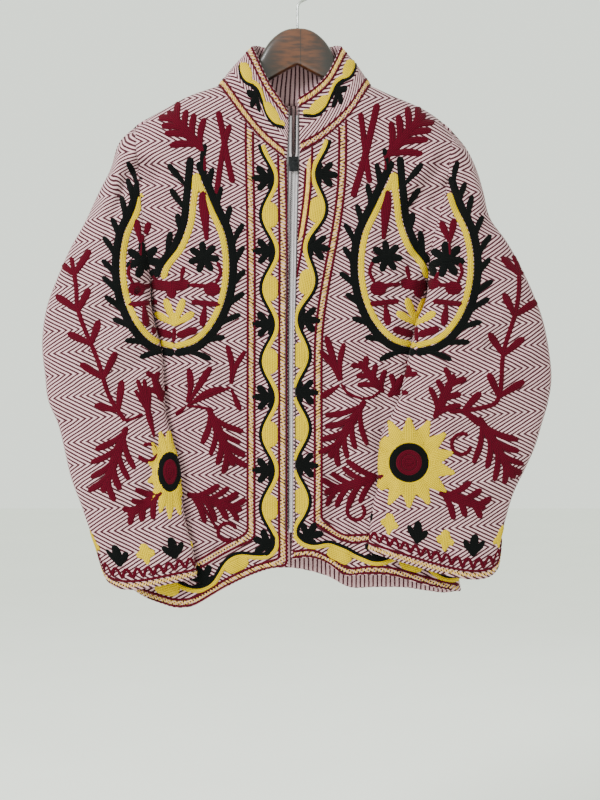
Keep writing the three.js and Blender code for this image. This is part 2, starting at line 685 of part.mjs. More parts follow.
// Hook: a straight stem, a short bend and an open round crown of wire.
function hangerHook() {
  const radius = 1.75;
  const path = [];
  const stemBottom = -91.6;
  path.push([0, 0, stemBottom], [0, 0, -70]);
  const bend = { x: 10, z: -50.65, r: 10 };
  for (let k = 0; k <= 5; k += 1) {
    const angle = Math.PI - (k / 5) * (Math.PI * (71.8 / 180));
    path.push([bend.x + bend.r * Math.cos(angle), 0, bend.z + bend.r * Math.sin(angle)]);
  }
  const turn = { x: 0, z: -20.25, r: 22 };
  for (let k = 1; k <= 22; k += 1) {
    const angle = ((-71.8 + (k / 22) * 287) * Math.PI) / 180;
    path.push([turn.x + turn.r * Math.cos(angle), 0, turn.z + turn.r * Math.sin(angle)]);
  }
  const around = 12;
  return swept(
    path.map((point, i) => {
      const before = path[Math.max(0, i - 1)];
      const after = path[Math.min(path.length - 1, i + 1)];
      const along = unit(minus(after, before));
      const side = unit(cross(along, [0, 1, 0]));
      return Array.from({ length: around }, (_, k) => {
        const angle = (2 * Math.PI * k) / around;
        return plus(plus(point, side, radius * Math.cos(angle)), [0, 1, 0], radius * Math.sin(angle));
      });
    }),
  );
}

const looks = {
  cloth: { color: 0xb493a0, roughness: 0.95, metalness: 0 },
  tape: { color: 0xb9b8ba, roughness: 0.9, metalness: 0 },
  metal: { color: 0x1b1b1d, roughness: 0.4, metalness: 1 },
  wood: { color: 0x4a2814, roughness: 0.3, metalness: 0 },
  steel: { color: 0x8f8a86, roughness: 0.3, metalness: 1 },
};

const group = new THREE.Group();
group.name = "jacket_on_hanger";

function place(name, body, look) {
  const made = body.getMesh();
  const geometry = new THREE.BufferGeometry();
  const positions = new Float32Array(made.numVert * 3);
  for (let i = 0; i < made.numVert; i += 1) {
    positions.set(made.vertProperties.subarray(i * made.numProp, i * made.numProp + 3), i * 3);
  }
  geometry.setAttribute("position", new THREE.BufferAttribute(positions, 3));
  geometry.setIndex(new THREE.BufferAttribute(new Uint32Array(made.triVerts), 1));
  geometry.computeVertexNormals();
  const mesh = new THREE.Mesh(geometry, new THREE.MeshStandardMaterial(looks[look]));
  mesh.name = name;
  group.add(mesh);
}

for (const [name, piece] of Object.entries(pieces)) place(name, clothBody(piece), "cloth");
place("zip_tape_left", zipHalf("left"), "tape");
place("zip_tape_right", zipHalf("right"), "tape");
place("zip_slider", zipSlider(), "metal");
place("zip_pull_tab", zipPull(), "metal");
place("hanger_wood", hangerWood(), "wood");
place("hanger_hook", hangerHook(), "steel");

export default group;
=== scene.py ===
"""Looks of a short embroidered jacket with a stand collar and a zip, hanging on a wooden hanger.

Lengths are written in millimetres and become metres where a mesh is made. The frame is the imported
part's: +X is the viewer's right, +Y goes away from the viewer, +Z is up, and the origin lies inside
the crown of the hanger's hook.
"""

from __future__ import annotations

import logging
import math
from dataclasses import dataclass, field
from enum import Enum
from typing import Callable, Sequence

import bmesh
import bpy
import numpy as np
from mathutils import Matrix, Quaternion, Vector
from mathutils.bvhtree import BVHTree

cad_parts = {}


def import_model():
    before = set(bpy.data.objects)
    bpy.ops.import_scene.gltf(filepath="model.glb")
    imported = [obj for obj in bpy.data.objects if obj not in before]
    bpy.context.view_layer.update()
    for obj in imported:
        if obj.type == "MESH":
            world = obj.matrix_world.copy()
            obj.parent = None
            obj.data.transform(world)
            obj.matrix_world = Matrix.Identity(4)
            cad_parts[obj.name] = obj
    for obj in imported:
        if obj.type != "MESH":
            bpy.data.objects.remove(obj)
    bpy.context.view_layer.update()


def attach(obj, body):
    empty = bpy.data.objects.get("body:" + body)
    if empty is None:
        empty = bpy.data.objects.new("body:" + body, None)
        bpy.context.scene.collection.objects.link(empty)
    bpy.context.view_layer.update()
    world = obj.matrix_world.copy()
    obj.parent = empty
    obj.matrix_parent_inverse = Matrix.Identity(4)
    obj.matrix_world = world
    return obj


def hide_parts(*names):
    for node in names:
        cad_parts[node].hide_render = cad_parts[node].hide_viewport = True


log = logging.getLogger("jacket")

MM = 0.001
TINY = 1e-9
TURN = 2 * math.pi
EYE = (0.00325, -2.2, -0.5696)
EYE_TO_FRONT = 2160
VIEW_HEIGHT = 1040
WALL = 2.2
SLEEVE_GAP = 2.0
SLEEVE_INSIDE = 5
SLEEVE_SWELL = 2.4
EDGE_ROUND = 0.9
FRONT_DEPTH = 36.0
BACK_DEPTH = 28.0
SHOULDER_ROUND = 42.0
SIDE_ROUND = 60.0
REFINE = 4
CREASE_DEPTH = 2.3
STATION = 2.6
LINE_WIDTH = 3.4
BAND_PITCH = 4.1
BAND_SLANT = 6
STITCH_WIDTH = 2.3
STITCH_HEIGHT = 1.7
COIL_DEPTH = -36.7

Points = Sequence[Sequence[float]]
Body = tuple[list[Vector], list[tuple[int, ...]]]

CORNER = {
    "left": {
        "throat": (-14.3, -257), "neck": (-105.3, -153.8), "shoulder": (-213.9, -206.8),
        "underarm": (-195.4, -441.2), "hem_side": (-223.2, -814.6), "hem_centre": (-12.6, -787.1),
    },
    "right": {
        "throat": (3.2, -246.6), "neck": (97.3, -153.8), "shoulder": (204.5, -213.4),
        "underarm": (171, -446), "hem_side": (216.4, -821.2), "hem_centre": (-7.7, -776.7),
    },
}

VIA = {
    "left": {
        "centre": [(-13, -309.1), (-12.4, -387.3), (-12.9, -511), (-12.9, -634.7), (-13, -738.9)],
        "neck": [(-46.5, -230.4), (-75.3, -196.4)],
        "shoulder": [(-145, -167.7), (-172.9, -183), (-202, -198.9)],
        "armhole": [(-210.3, -244.4), (-207, -282.3), (-203.1, -321.5), (-198.5, -369.8), (-192.7, -412.9)],
        "back_armhole": [(-217.2, -255.6), (-213.2, -315.7), (-205.2, -382.5)],
        "side": [(-191.4, -490.2), (-195.4, -569.6), (-208.6, -702)],
        "hem": [(-34.5, -788.4), (-60.6, -797.5), (-93.8, -813.2), (-127, -832.7), (-137.4, -837.2),
                (-157.6, -839.2), (-177.8, -834), (-197.3, -827.5), (-211, -821)],
    },
    "right": {
        "centre": [(2.3, -283.1), (0.1, -361.2), (-2.5, -439.4), (-4.6, -511), (-4.6, -621.7),
                   (-5.1, -738.9)],
        "neck": [(32.1, -230.4), (70, -196.4)],
        "shoulder": [(126.4, -167.1), (163.5, -183), (186, -197.5)],
        "armhole": [(199.2, -256.2), (194.6, -294), (187.4, -322.8), (179.6, -350.2), (173.9, -380.2),
                    (171.2, -412.9)],
        "back_armhole": [(206.3, -255.6), (202.3, -315.7), (188.6, -385)],
        "side": [(169.5, -490.2), (176, -569.6), (196, -702)],
        "hem": [(11.1, -774.1), (30.6, -778), (42.3, -784.5), (61.9, -797.5), (87.9, -796.2), (120.5, -797.5),
                (159.5, -807.9), (194.7, -817)],
    },
}
BACK_NECK_VIA = [(-77.1, -165.4), (-39.6, -173.4), (-0.8, -176.1), (35.4, -173.4), (70.2, -165.4)]
BACK_HEM_VIA = [
    (-197.5, -815.9), (-144, -807.9), (-77.1, -797.1), (-10.1, -793.1), (38.1, -803.8),
    (70.2, -819.9), (106.3, -819.9), (142.5, -819.9), (171.9, -823.9), (197.3, -826),
]

# Folds of the body: x and z of both ends of a line, its width and its height towards the outside.
FRONT_FOLDS = [
    (36, -800, 60, -640, 17, -5), (100, -815, 92, -620, 26, 4), (-135, -850, -112, -660, 26, 5),
    (-70, -800, -72, -620, 22, -4), (-150, -430, -70, -560, 16, -3.5), (135, -430, 66, -560, 16, -3.5),
]
BACK_FOLDS = [
    (-100, -830, -90, -520, 30, 5), (5, -830, 0, -560, 28, -4), (95, -840, 88, -520, 30, 5),
    (-150, -400, -60, -520, 20, -4), (140, -410, 55, -540, 20, -4),
]
# Creases that are too small for the solids, in the same columns.
FRONT_CREASES = [
    (-198, -262, -150, -300, 9, -3.0), (-190, -250, -158, -262, 8, 2.2), (-196, -300, -168, -352, 10, 1.8),
    (-188, -340, -150, -410, 9, -2.0), (-176, -400, -140, -470, 10, 1.8), (-150, -520, -128, -640, 12, -1.6),
    (-104, -330, -96, -420, 14, 1.0), (-40, -420, -46, -560, 16, -1.1), (-60, -650, -52, -760, 12, 1.4),
    (-160, -690, -150, -810, 10, -1.8), (-186, -700, -178, -800, 9, 1.4), (-108, -700, -96, -800, 10, -1.2),
    (188, -262, 148, -322, 10, -3.2), (178, -250, 140, -300, 9, 2.2), (150, -330, 120, -360, 12, -1.8),
    (176, -330, 140, -420, 9, -2.0), (160, -400, 118, -480, 10, 1.8), (120, -520, 104, -640, 12, -1.6),
    (96, -300, 90, -420, 14, 1.0), (40, -450, 46, -590, 15, -1.1), (30, -660, 34, -770, 11, 1.6),
    (78, -700, 74, -800, 10, -2.0), (122, -700, 128, -790, 10, 1.8), (158, -700, 168, -800, 9, -1.8),
    (60, -560, 78, -690, 12, 1.4), (-128, -480, -110, -560, 12, 1.4), (18, -330, 24, -420, 12, 0.8),
    (-212, -262, -188, -274, 9, -6.0), (202, -286, 180, -304, 9, -5.5),
]
BACK_CREASES = [
    (-196, -270, -140, -320, 12, -2.6), (-190, -320, -120, -400, 11, 1.8), (-60, -180, -30, -260, 16, -1.4),
    (186, -270, 130, -325, 12, -2.6), (178, -320, 116, -410, 11, 1.8), (55, -190, 26, -270, 16, -1.4),
    (-160, -560, -140, -780, 12, -1.8), (-50, -560, -46, -780, 14, 1.8), (48, -600, 52, -790, 13, -1.8),
    (150, -560, 140, -780, 12, 1.8), (0, -300, 4, -480, 20, -1.2), (-120, -420, -100, -560, 12, 1.4),
    (112, -430, 96, -560, 12, -1.4),
]
# Creases of the sleeves, by side: ends, width, height, for the front half and for the back half.
SLEEVE_CREASES = {
    "left": {
        "front": [
            (-222, -236, -232, -300, 10, -2.6), (-240, -262, -262, -330, 11, 2.2),
            (-206, -300, -222, -390, 10, -2.4), (-200, -420, -262, -470, 10, -2.6),
            (-196, -455, -250, -520, 10, 2.0), (-184, -500, -244, -560, 9, -2.2),
            (-320, -470, -262, -520, 11, -2.0), (-326, -520, -250, -560, 10, 1.8),
            (-300, -600, -214, -640, 11, -1.8), (-166, -590, -196, -700, 9, -2.4),
            (-292, -680, -232, -700, 10, 1.4), (-176, -660, -170, -770, 8, 1.6),
            (-268, -720, -262, -790, 8, -1.4), (-222, -700, -214, -790, 10, -1.2),
        ],
        "back": [
            (-232, -260, -262, -360, 12, -2.4), (-206, -420, -280, -470, 11, -2.2),
            (-190, -470, -270, -540, 11, 1.8), (-310, -560, -220, -600, 11, -1.8),
            (-270, -640, -180, -680, 11, 1.6), (-240, -700, -225, -780, 10, -1.2),
        ],
    },
    "right": {
        "front": [
            (214, -240, 226, -300, 10, -2.6), (232, -262, 254, -330, 11, 2.2),
            (196, -300, 212, -390, 10, -2.4), (176, -420, 250, -456, 10, -2.6),
            (170, -452, 240, -500, 10, 2.0), (160, -490, 236, -540, 9, -2.2),
            (312, -440, 250, -500, 11, -2.0), (322, -500, 244, -545, 10, 1.8),
            (300, -590, 206, -610, 11, -1.8), (140, -540, 168, -640, 9, -2.2),
            (122, -590, 132, -700, 9, 2.0), (286, -660, 214, -690, 10, 1.4),
            (112, -640, 116, -740, 8, -2.0), (260, -710, 262, -780, 8, -1.4),
            (190, -690, 196, -780, 10, -1.2),
        ],
        "back": [
            (224, -260, 250, -360, 12, -2.4), (190, -420, 270, -460, 11, -2.2),
            (176, -470, 262, -530, 11, 1.8), (300, -550, 206, -590, 11, -1.8),
            (262, -630, 160, -670, 11, 1.6), (210, -690, 205, -770, 10, -1.2),
        ],
    },
}

# Sleeve sections: outer fold x, y, z, inner fold x, y, z, swell to the front, swell to the back.
SLEEVE_SECTIONS = {
    "left": [
        (-213.9, 0, -206.8, -195.4, 0, -441.2, 31, 24), (-236.2, -2, -229.6, -192.2, -6, -450.8, 31, 22),
        (-247.1, -5, -264.4, -189.1, -11, -461.6, 30, 20), (-261.9, -8, -295.2, -186, -16, -473.6, 28, 18),
        (-280, -11, -335.1, -182.4, -20, -485.6, 26, 16),
        (-300.7, -14, -373.6, -178.8, -24, -498.9, 24, 15),
        (-317.3, -17, -413.3, -175.9, -27, -514.7, 23, 14),
        (-330, -20, -451.5, -174.4, -30, -534.3, 22, 13.5),
        (-334.8, -23, -496.2, -173.5, -33, -556.6, 21, 13),
        (-330.4, -26, -536.9, -171.9, -36, -582.6, 20, 12.5),
        (-326, -29, -569.6, -165.8, -40, -608.6, 19, 12),
        (-312.5, -32, -600.9, -159, -43, -630.6, 18, 11.5),
        (-303.6, -35, -634.8, -153, -45, -657.8, 17, 11),
        (-294.7, -38, -671.1, -150.3, -46.5, -685, 16, 10.5),
        (-282.8, -40, -702.2, -147.7, -47.5, -712.1, 15, 10),
        (-272.1, -42, -731.9, -142.5, -48, -736.7, 14.5, 9.5),
        (-261.5, -44, -759, -135.3, -48.5, -761.2, 14, 9),
        (-254.2, -45, -777.1, -130.1, -49, -798.7, 14, 9),
    ],
    "right": [
        (204.5, 0, -213.4, 171, 0, -446, 31, 24), (222.8, -2, -236.2, 167, -12, -449.5, 31, 22),
        (235.8, -5, -263.1, 162.5, -21, -454.5, 30, 20), (245.3, -8, -295.2, 158.3, -28, -461, 28, 18),
        (253.6, -11, -329.8, 154.8, -32, -469.5, 26, 16), (275.6, -14, -361.7, 151.6, -35, -481.5, 24, 15),
        (293.6, -17, -394.9, 148, -37.5, -496.5, 23, 14),
        (309, -20, -429.2, 144.3, -39.5, -512.4, 22, 13.5), (321.6, -23, -464.8, 141, -41, -530.6, 21, 13),
        (329, -26, -504.2, 135.7, -42.5, -551.4, 20, 12.5),
        (331.9, -29, -540.9, 130.4, -44, -570.9, 19, 12),
        (326.8, -32, -573.5, 121.2, -46, -590.3, 18, 11.5),
        (317.9, -35, -602.2, 110.8, -47.5, -609.8, 17, 11),
        (308.4, -38, -632.1, 105.6, -48, -633.1, 16, 10.5),
        (295.1, -40, -660.6, 104.3, -48.5, -658.9, 15.5, 10),
        (281.2, -42, -689.1, 102.9, -49, -683.5, 15, 9.5), (272, -43, -717.6, 97.1, -49, -705.5, 14.5, 9),
        (265.4, -44, -746.1, 93.9, -49, -734, 14, 9), (263.3, -45, -771.9, 91.8, -49, -765.1, 14, 9),
    ],
}
CUFF_SAG = {"left": 31, "right": 30}

COLLAR_TOP = {
    "left": [(-11.1, -35, -194.3), (-21.5, -34, -178.5), (-37.2, -30, -154.3), (-49.9, -20, -126.1),
             (-59.5, -4, -102.4)],
    "back": [(-59.5, -4, -102.4), (-55.3, 10, -98.7), (-34.2, 23, -101.3), (-2.1, 28, -104.3),
             (30, 23, -101.3), (52.5, 10, -98.7), (57.4, -4, -102.4)],
    "right": [(57.4, -4, -102.4), (49.2, -20, -123.5), (37.2, -30, -146.4), (18.9, -35, -164.4),
              (0.6, -36, -176.3)],
}

ZIP_CENTRE = [
    (-4.6, -190), (-5.1, -244), (-5.5, -271.3), (-7.4, -361.2), (-9.2, -477.1),
    (-9.3, -543.6), (-9.1, -620.4), (-9.3, -682.9), (-9.4, -737.6),
]

# Wooden hanger, half of it: x, top z, bottom z and half thickness.
HANGER_SECTIONS = [
    (0, -77.5, -126.3, 8.5), (10, -78.2, -131.7, 8.5), (20, -81.5, -137.2, 8.6), (29.6, -88.1, -142.5, 8.8),
    (37, -95.5, -146.8, 9), (42.5, -103.5, -150.6, 9), (47, -111.5, -154.5, 9), (60, -127.5, -165, 9),
    (75, -144.5, -177, 9), (90, -158.5, -188, 9), (105, -165.5, -198, 9), (126, -175, -208, 10),
    (145, -183.5, -216, 11), (163, -192, -224, 12.5), (178, -202, -231, 13), (189, -211, -235, 11),
    (194, -218, -232, 7),
]


class Side(Enum):
    """The two halves of the jacket, as the viewer sees them."""

    LEFT = "left"
    RIGHT = "right"


class Yarn(Enum):
    """Colours of the embroidery wool."""

    YELLOW = "yellow"
    BLACK = "black"
    MAROON = "maroon"


def run_lengths(points: np.ndarray, axis: int = 0) -> np.ndarray:
    """Length along a line, or along each line of a grid, up to each of its points.

    Args:
        points: the points, with their coordinates in the last axis.
        axis: the axis that the lines follow.

    Returns:
        The lengths, from 0.
    """
    steps = np.cumsum(np.linalg.norm(np.diff(points, axis=axis), axis=-1), axis=axis)
    return np.concatenate([np.zeros_like(np.take(steps, [0], axis=axis)), steps], axis=axis)


def hermite(
    t: np.ndarray | float, first: np.ndarray, leave: np.ndarray, last: np.ndarray, arrive: np.ndarray
) -> np.ndarray:
    """Smooth passage between two values.

    Args:
        t: share of the way.
        first: the value at 0.
        leave: its slope there.
        last: the value at 1.
        arrive: its slope there.

    Returns:
        The value at t.
    """
    return (
        (2 * t**3 - 3 * t**2 + 1) * first + (t**3 - 2 * t**2 + t) * leave
        + (3 * t**2 - 2 * t**3) * last + (t**3 - t**2) * arrive
    )


class SmoothLine:
    """A smooth curve through points, read by shares of its length."""

    def __init__(self, points: Points) -> None:
        """Works out the curve's slope at each point.

        Args:
            points: the points that the curve passes.
        """
        self.points = np.asarray(points, float)
        self.at = run_lengths(self.points)
        index = np.arange(len(self.points))
        before, after = np.maximum(index - 1, 0), np.minimum(index + 1, len(index) - 1)
        run = (self.at[after] - self.at[before])[:, None]
        self.slope = (self.points[after] - self.points[before]) / run

    @property
    def total(self) -> float:
        """Length of the line through the points."""
        return float(self.at[-1])

    def __call__(self, shares: np.ndarray | Sequence[float]) -> np.ndarray:
        """Points at shares of the length.

        Args:
            shares: numbers from 0 to 1.

        Returns:
            One row for each share.
        """
        want = np.clip(np.asarray(shares, float), 0, 1) * self.at[-1]
        i = np.clip(np.searchsorted(self.at[1:], want), 0, len(self.at) - 2)
        span = (self.at[i + 1] - self.at[i])[:, None]
        t = (want - self.at[i])[:, None] / span
        return hermite(t, self.points[i], span * self.slope[i], self.points[i + 1], span * self.slope[i + 1])


def even(count: int) -> np.ndarray:
    """Shares from 0 to 1 in equal steps."""
    return np.linspace(0, 1, count + 1)


def closing_on(count: int, power: float) -> np.ndarray:
    """Shares from 0 to 1 that get closer towards 1."""
    return 1 - (1 - even(count)) ** power


def both_ends(count: int) -> np.ndarray:
    """Shares from 0 to 1 that get closer towards both ends."""
    t = even(count)
    return 0.5 * t + 0.25 * (1 - np.cos(math.pi * t))


def smooth_step(t: np.ndarray) -> np.ndarray:
    """Eases from 0 to 1."""
    t = np.clip(t, 0, 1)
    return t * t * (3 - 2 * t)


def length_shares(points: np.ndarray) -> np.ndarray:
    """Share of the length at each point of a line."""
    at = run_lengths(points)
    return at / at[-1]


def look_up(points: np.ndarray, source: int, target: int, value: np.ndarray) -> np.ndarray:
    """Reads one coordinate of a line at values of another, which only rises or only falls."""
    order = np.argsort(points[:, source])
    return np.interp(value, points[order, source], points[order, target])


@dataclass(frozen=True)
class HalfEdges:
    """Edge lines of one half of the body in the front view."""

    centre: SmoothLine
    neck: SmoothLine
    shoulder: SmoothLine
    armhole: SmoothLine
    back_armhole: SmoothLine
    side: SmoothLine
    hem: SmoothLine

    @classmethod
    def of(cls, side: str) -> HalfEdges:
        """Edges of the half on one side."""
        c, via = CORNER[side], VIA[side]

        def line(start: str, name: str, end: str) -> SmoothLine:
            """The edge between two corners."""
            return SmoothLine([c[start], *via[name], c[end]])

        return cls(
            line("throat", "centre", "hem_centre"), line("throat", "neck", "neck"),
            line("neck", "shoulder", "shoulder"), line("shoulder", "armhole", "underarm"),
            line("shoulder", "back_armhole", "underarm"), line("underarm", "side", "hem_side"),
            line("hem_centre", "hem", "hem_side"),
        )


@dataclass
class BodyForm:
    """The depth of the jacket's body over its front view."""

    edges: dict[str, HalfEdges] = field(
        default_factory=lambda: {side.value: HalfEdges.of(side.value) for side in Side}
    )

    def ridge_z(self, side: str, x: np.ndarray) -> np.ndarray:
        """Height of the shoulder ridge over x, carried on past the neck."""
        neck, shoulder = CORNER[side]["neck"], CORNER[side]["shoulder"]
        z = look_up(self.edges[side].shoulder(even(40)), 0, 1, x)
        past = x > neck[0] if side == "left" else x < neck[0]
        z = np.where(np.abs(x) > abs(shoulder[0]), shoulder[1], z)
        return np.where(past, neck[1] + 0.35 * np.abs(x - neck[0]), z)

    def rim(self, side: str, x: np.ndarray, z: np.ndarray, arm: SmoothLine) -> np.ndarray:
        """How much a point belongs to the rounded rim: 0 on the flat, 1 on a ridge."""
        c = CORNER[side]
        top = np.clip(1 - (self.ridge_z(side, x) - z) / SHOULDER_ROUND, 0, 1)
        on_arm = look_up(arm(even(40)), 1, 0, z)
        on_side = look_up(self.edges[side].side(even(40)), 1, 0, z)
        edge = np.where(z > c["underarm"][1], on_arm, on_side)
        edge = np.where(z > c["shoulder"][1], c["shoulder"][0], edge)
        down = np.clip((c["shoulder"][1] - z) / (c["shoulder"][1] - c["underarm"][1]), 0, 1)
        full = np.where(down >= 1, 1.0, 0.5 + 0.5 * smooth_step((down - 0.55) / 0.45))
        lateral = full * np.clip(1 - np.abs(x - edge) / SIDE_ROUND, 0, 1)
        return np.clip(np.hypot(top, lateral), 0, 1)

    def front_y(self, side: str, x: np.ndarray, z: np.ndarray) -> np.ndarray:
        """Depth of the front, with its folds and creases."""
        rim = self.rim(side, x, z, self.edges[side].armhole)
        creases = CREASE_DEPTH * fold_height(FRONT_CREASES, x, z)
        return -np.sqrt(1 - rim**2) * (FRONT_DEPTH + fold_height(FRONT_FOLDS, x, z) + creases)

    def back_y(self, x: np.ndarray, z: np.ndarray) -> np.ndarray:
        """Depth of the back, with its folds and creases."""
        left = self.rim("left", x, z, self.edges["left"].back_armhole)
        right = self.rim("right", x, z, self.edges["right"].back_armhole)
        rim = np.maximum(left, right)
        creases = CREASE_DEPTH * fold_height(BACK_CREASES, x, z)
        return np.sqrt(1 - rim**2) * (BACK_DEPTH + fold_height(BACK_FOLDS, x, z) + creases)

    def front_limit(self, side: str, x: np.ndarray, z: np.ndarray) -> np.ndarray:
        """Front of the body under the arm, or far back where there is no body."""
        under = CORNER[side]["underarm"][1]
        above = np.maximum(0, z - under)
        edge = look_up(self.edges[side].side(even(40)), 1, 0, z)
        outside = np.abs(x) - np.abs(edge)
        body = np.where(outside < 0, self.front_y(side, x, np.minimum(z, under)), 0)
        limit = body + above * 0.8 + np.maximum(0, outside) * 2
        return np.where((above > 30) | (outside > 30), 1000, limit)


def fold_height(folds: Sequence[tuple], x: np.ndarray, z: np.ndarray) -> np.ndarray:
    """Height of soft folds at points of the front view.

    Args:
        folds: rows of x0, z0, x1, z1, width and height.
        x: the points' x.
        z: the points' z.

    Returns:
        The height towards the outside.
    """
    height = np.zeros(np.shape(x))
    for x0, z0, x1, z1, width, tall in folds:
        run_x, run_z = x1 - x0, z1 - z0
        t = np.clip(((x - x0) * run_x + (z - z0) * run_z) / (run_x**2 + run_z**2), 0, 1)
        away = np.hypot(x - x0 - run_x * t, z - z0 - run_z * t)
        height = height + tall * np.exp(-((away / width) ** 2))
    return height


def filled(top: np.ndarray, bottom: np.ndarray, start: np.ndarray, end: np.ndarray) -> np.ndarray:
    """Fills a four-sided outline: columns follow top and bottom, rows follow the two sides."""
    u = length_shares(top)[:, None, None]
    v = length_shares(end)[None, :, None]
    return (
        (1 - v) * top[:, None] + v * bottom[:, None] + (1 - u) * start[None] + u * end[None]
        - ((1 - u) * (1 - v) * top[0] + u * (1 - v) * top[-1] + (1 - u) * v * bottom[0] + u * v * bottom[-1])
    )


@dataclass
class Patterns:
    """The grids of the cut pieces, in millimetres: columns, rows, x y z."""

    form: BodyForm = field(default_factory=BodyForm)
    neck: int = 6 * REFINE
    shoulder: int = 8 * REFINE
    armhole: int = 10 * REFINE
    side: int = 14 * REFINE
    back_neck: int = 12 * REFINE
    collar_height: int = 4 * REFINE
    sleeve: int = 24 * REFINE

    def arm_rows(self, edge: SmoothLine, side: SmoothLine) -> np.ndarray:
        """Points down an armhole and on down the side."""
        return np.vstack([edge(both_ends(self.armhole)), side(even(self.side))[1:]])

    def front(self, side: str) -> np.ndarray:
        """Grid of one front, from its centre edge to its side."""
        e = self.form.edges[side]
        top = np.vstack([e.neck(even(self.neck)), e.shoulder(closing_on(self.shoulder, 1.3))[1:]])
        end = self.arm_rows(e.armhole, e.side)
        plan = filled(top, e.hem(length_shares(top)), e.centre(length_shares(end)), end)
        y = self.form.front_y(side, plan[..., 0], plan[..., 1])
        y[self.neck:, 0] = 0
        y[-1, self.armhole:] = 0
        return np.stack([plan[..., 0], y, plan[..., 1]], axis=-1)

    def back(self) -> np.ndarray:
        """Grid of the back, from the viewer's left to the right."""
        left, right = self.form.edges["left"], self.form.edges["right"]
        neck = SmoothLine([CORNER["left"]["neck"], *BACK_NECK_VIA, CORNER["right"]["neck"]])
        hem = SmoothLine([CORNER["left"]["hem_side"], *BACK_HEM_VIA, CORNER["right"]["hem_side"]])
        shoulder = closing_on(self.shoulder, 1.3)
        top = np.vstack([
            left.shoulder(shoulder)[::-1], neck(even(self.back_neck))[1:-1], right.shoulder(shoulder),
        ])
        start = self.arm_rows(left.back_armhole, left.side)
        end = self.arm_rows(right.back_armhole, right.side)
        plan = filled(top, hem(length_shares(top)), start, end)
        y = self.form.back_y(plan[..., 0], plan[..., 1])
        y[: self.shoulder + 1, 0] = 0
        y[-self.shoulder - 1:, 0] = 0
        y[0, self.armhole:] = 0
        y[-1, self.armhole:] = 0
        return np.stack([plan[..., 0], y, plan[..., 1]], axis=-1)

    def sleeve_row(self, side: str, share: float) -> np.ndarray:
        """One row of the sleeve's table at a share of its length."""
        rows = np.asarray(SLEEVE_SECTIONS[side], float)
        count = len(rows) - 1
        place = min(max(share, 0), 1) * count
        i = min(count - 1, int(place))
        t = place - i
        before, after = rows[max(0, i - 1)], rows[min(count, i + 2)]
        leave = (rows[i + 1] - before) / (2 if i > 0 else 1)
        arrive = (after - rows[i]) / (2 if i + 2 <= count else 1)
        return hermite(t, rows[i], leave, rows[i + 1], arrive)

    def sleeve_ring(self, side: str, share: float) -> np.ndarray:
        """One ring of the sleeve: front half from the outer fold, then the back half."""
        ox, oy, oz, ix, iy, iz, front, back = self.sleeve_row(side, share)
        sag = CUFF_SAG[side] * max(0.0, (share - 0.8) / 0.2) ** 2
        arm = both_ends(self.armhole)
        s = np.concatenate([arm, arm[1:-1][::-1]])
        on_front = np.arange(len(s)) <= self.armhole
        swell = np.clip(1 - np.abs(2 * s - 1) ** SLEEVE_SWELL, 0, 1) ** (1 / SLEEVE_SWELL)
        drop = np.sin(math.pi * s**0.45) * sag * np.where(on_front, 1, 0.35)
        x = ox + (ix - ox) * s
        z = oz + (iz - oz) * s - drop
        creases = SLEEVE_CREASES[side]
        fade = smooth_step(np.array(share / 0.12)) * smooth_step(np.minimum(s, 1 - s) / 0.14)
        lift = np.where(on_front, fold_height(creases["front"], x, z), fold_height(creases["back"], x, z))
        deep = np.where(on_front, -front, back) + np.where(on_front, -1, 1) * lift * fade * CREASE_DEPTH
        return np.stack([x, oy + (iy - oy) * s + swell * deep, z], axis=-1)

    def sleeve_grid(self, side: str, front_arm: np.ndarray, back_arm: np.ndarray) -> np.ndarray:
        """Grid of one sleeve: stations round it, rings from the armhole to the cuff."""
        n = self.armhole
        armhole = np.vstack([front_arm[: n + 1], back_arm[1:n][::-1]])
        first = self.sleeve_ring(side, 0)
        rings = []
        for share in even(self.sleeve):
            keep = max(0.0, 1 - share / 0.26) ** 1.6
            rings.append(self.sleeve_ring(side, share) + (armhole - first) * keep)
        grid = np.stack(rings, axis=1)
        limit = self.form.front_limit(side, grid[..., 0], grid[..., 2]) - SLEEVE_GAP
        y = grid[..., 1].copy()
        ease = smooth_step(np.arange(grid.shape[1]) / REFINE)
        held = np.minimum(y[n:], limit[n:])
        y[n:] = y[n:] + (held - y[n:]) * ease
        mirror = y[::-1][: n - 1]
        capped = np.minimum(y[1:n], mirror - SLEEVE_INSIDE)
        y[1:n] = y[1:n] + (capped - y[1:n]) * ease
        grid[..., 1] = y
        return grid

    def collar(self, left: np.ndarray, back: np.ndarray, right: np.ndarray) -> np.ndarray:
        """Grid of the collar, from the left throat round the neck to the right one."""
        n, s = self.neck, self.shoulder
        low = np.vstack([left[: n + 1, 0], back[s + 1: s + self.back_neck, 0], right[: n + 1, 0][::-1]])
        high = np.vstack([
            SmoothLine(COLLAR_TOP["left"])(even(n)),
            SmoothLine(COLLAR_TOP["back"])(even(self.back_neck))[1:],
            SmoothLine(COLLAR_TOP["right"])(even(n))[1:],
        ])
        t = even(self.collar_height)[None, :, None]
        grid = low[:, None] * (1 - t) + high[:, None] * t
        outward = np.stack([grid[..., 0], grid[..., 1] * 1.4, np.zeros(grid.shape[:2])], axis=-1)
        outward /= np.maximum(np.linalg.norm(outward, axis=-1, keepdims=True), 1e-6)
        index = np.arange(len(low))
        from_edge = np.clip(np.minimum(index, len(low) - 1 - index) / (4 * REFINE), 0, 1)
        return grid + outward * (2.5 * from_edge[:, None, None] * np.sin(math.pi * t))


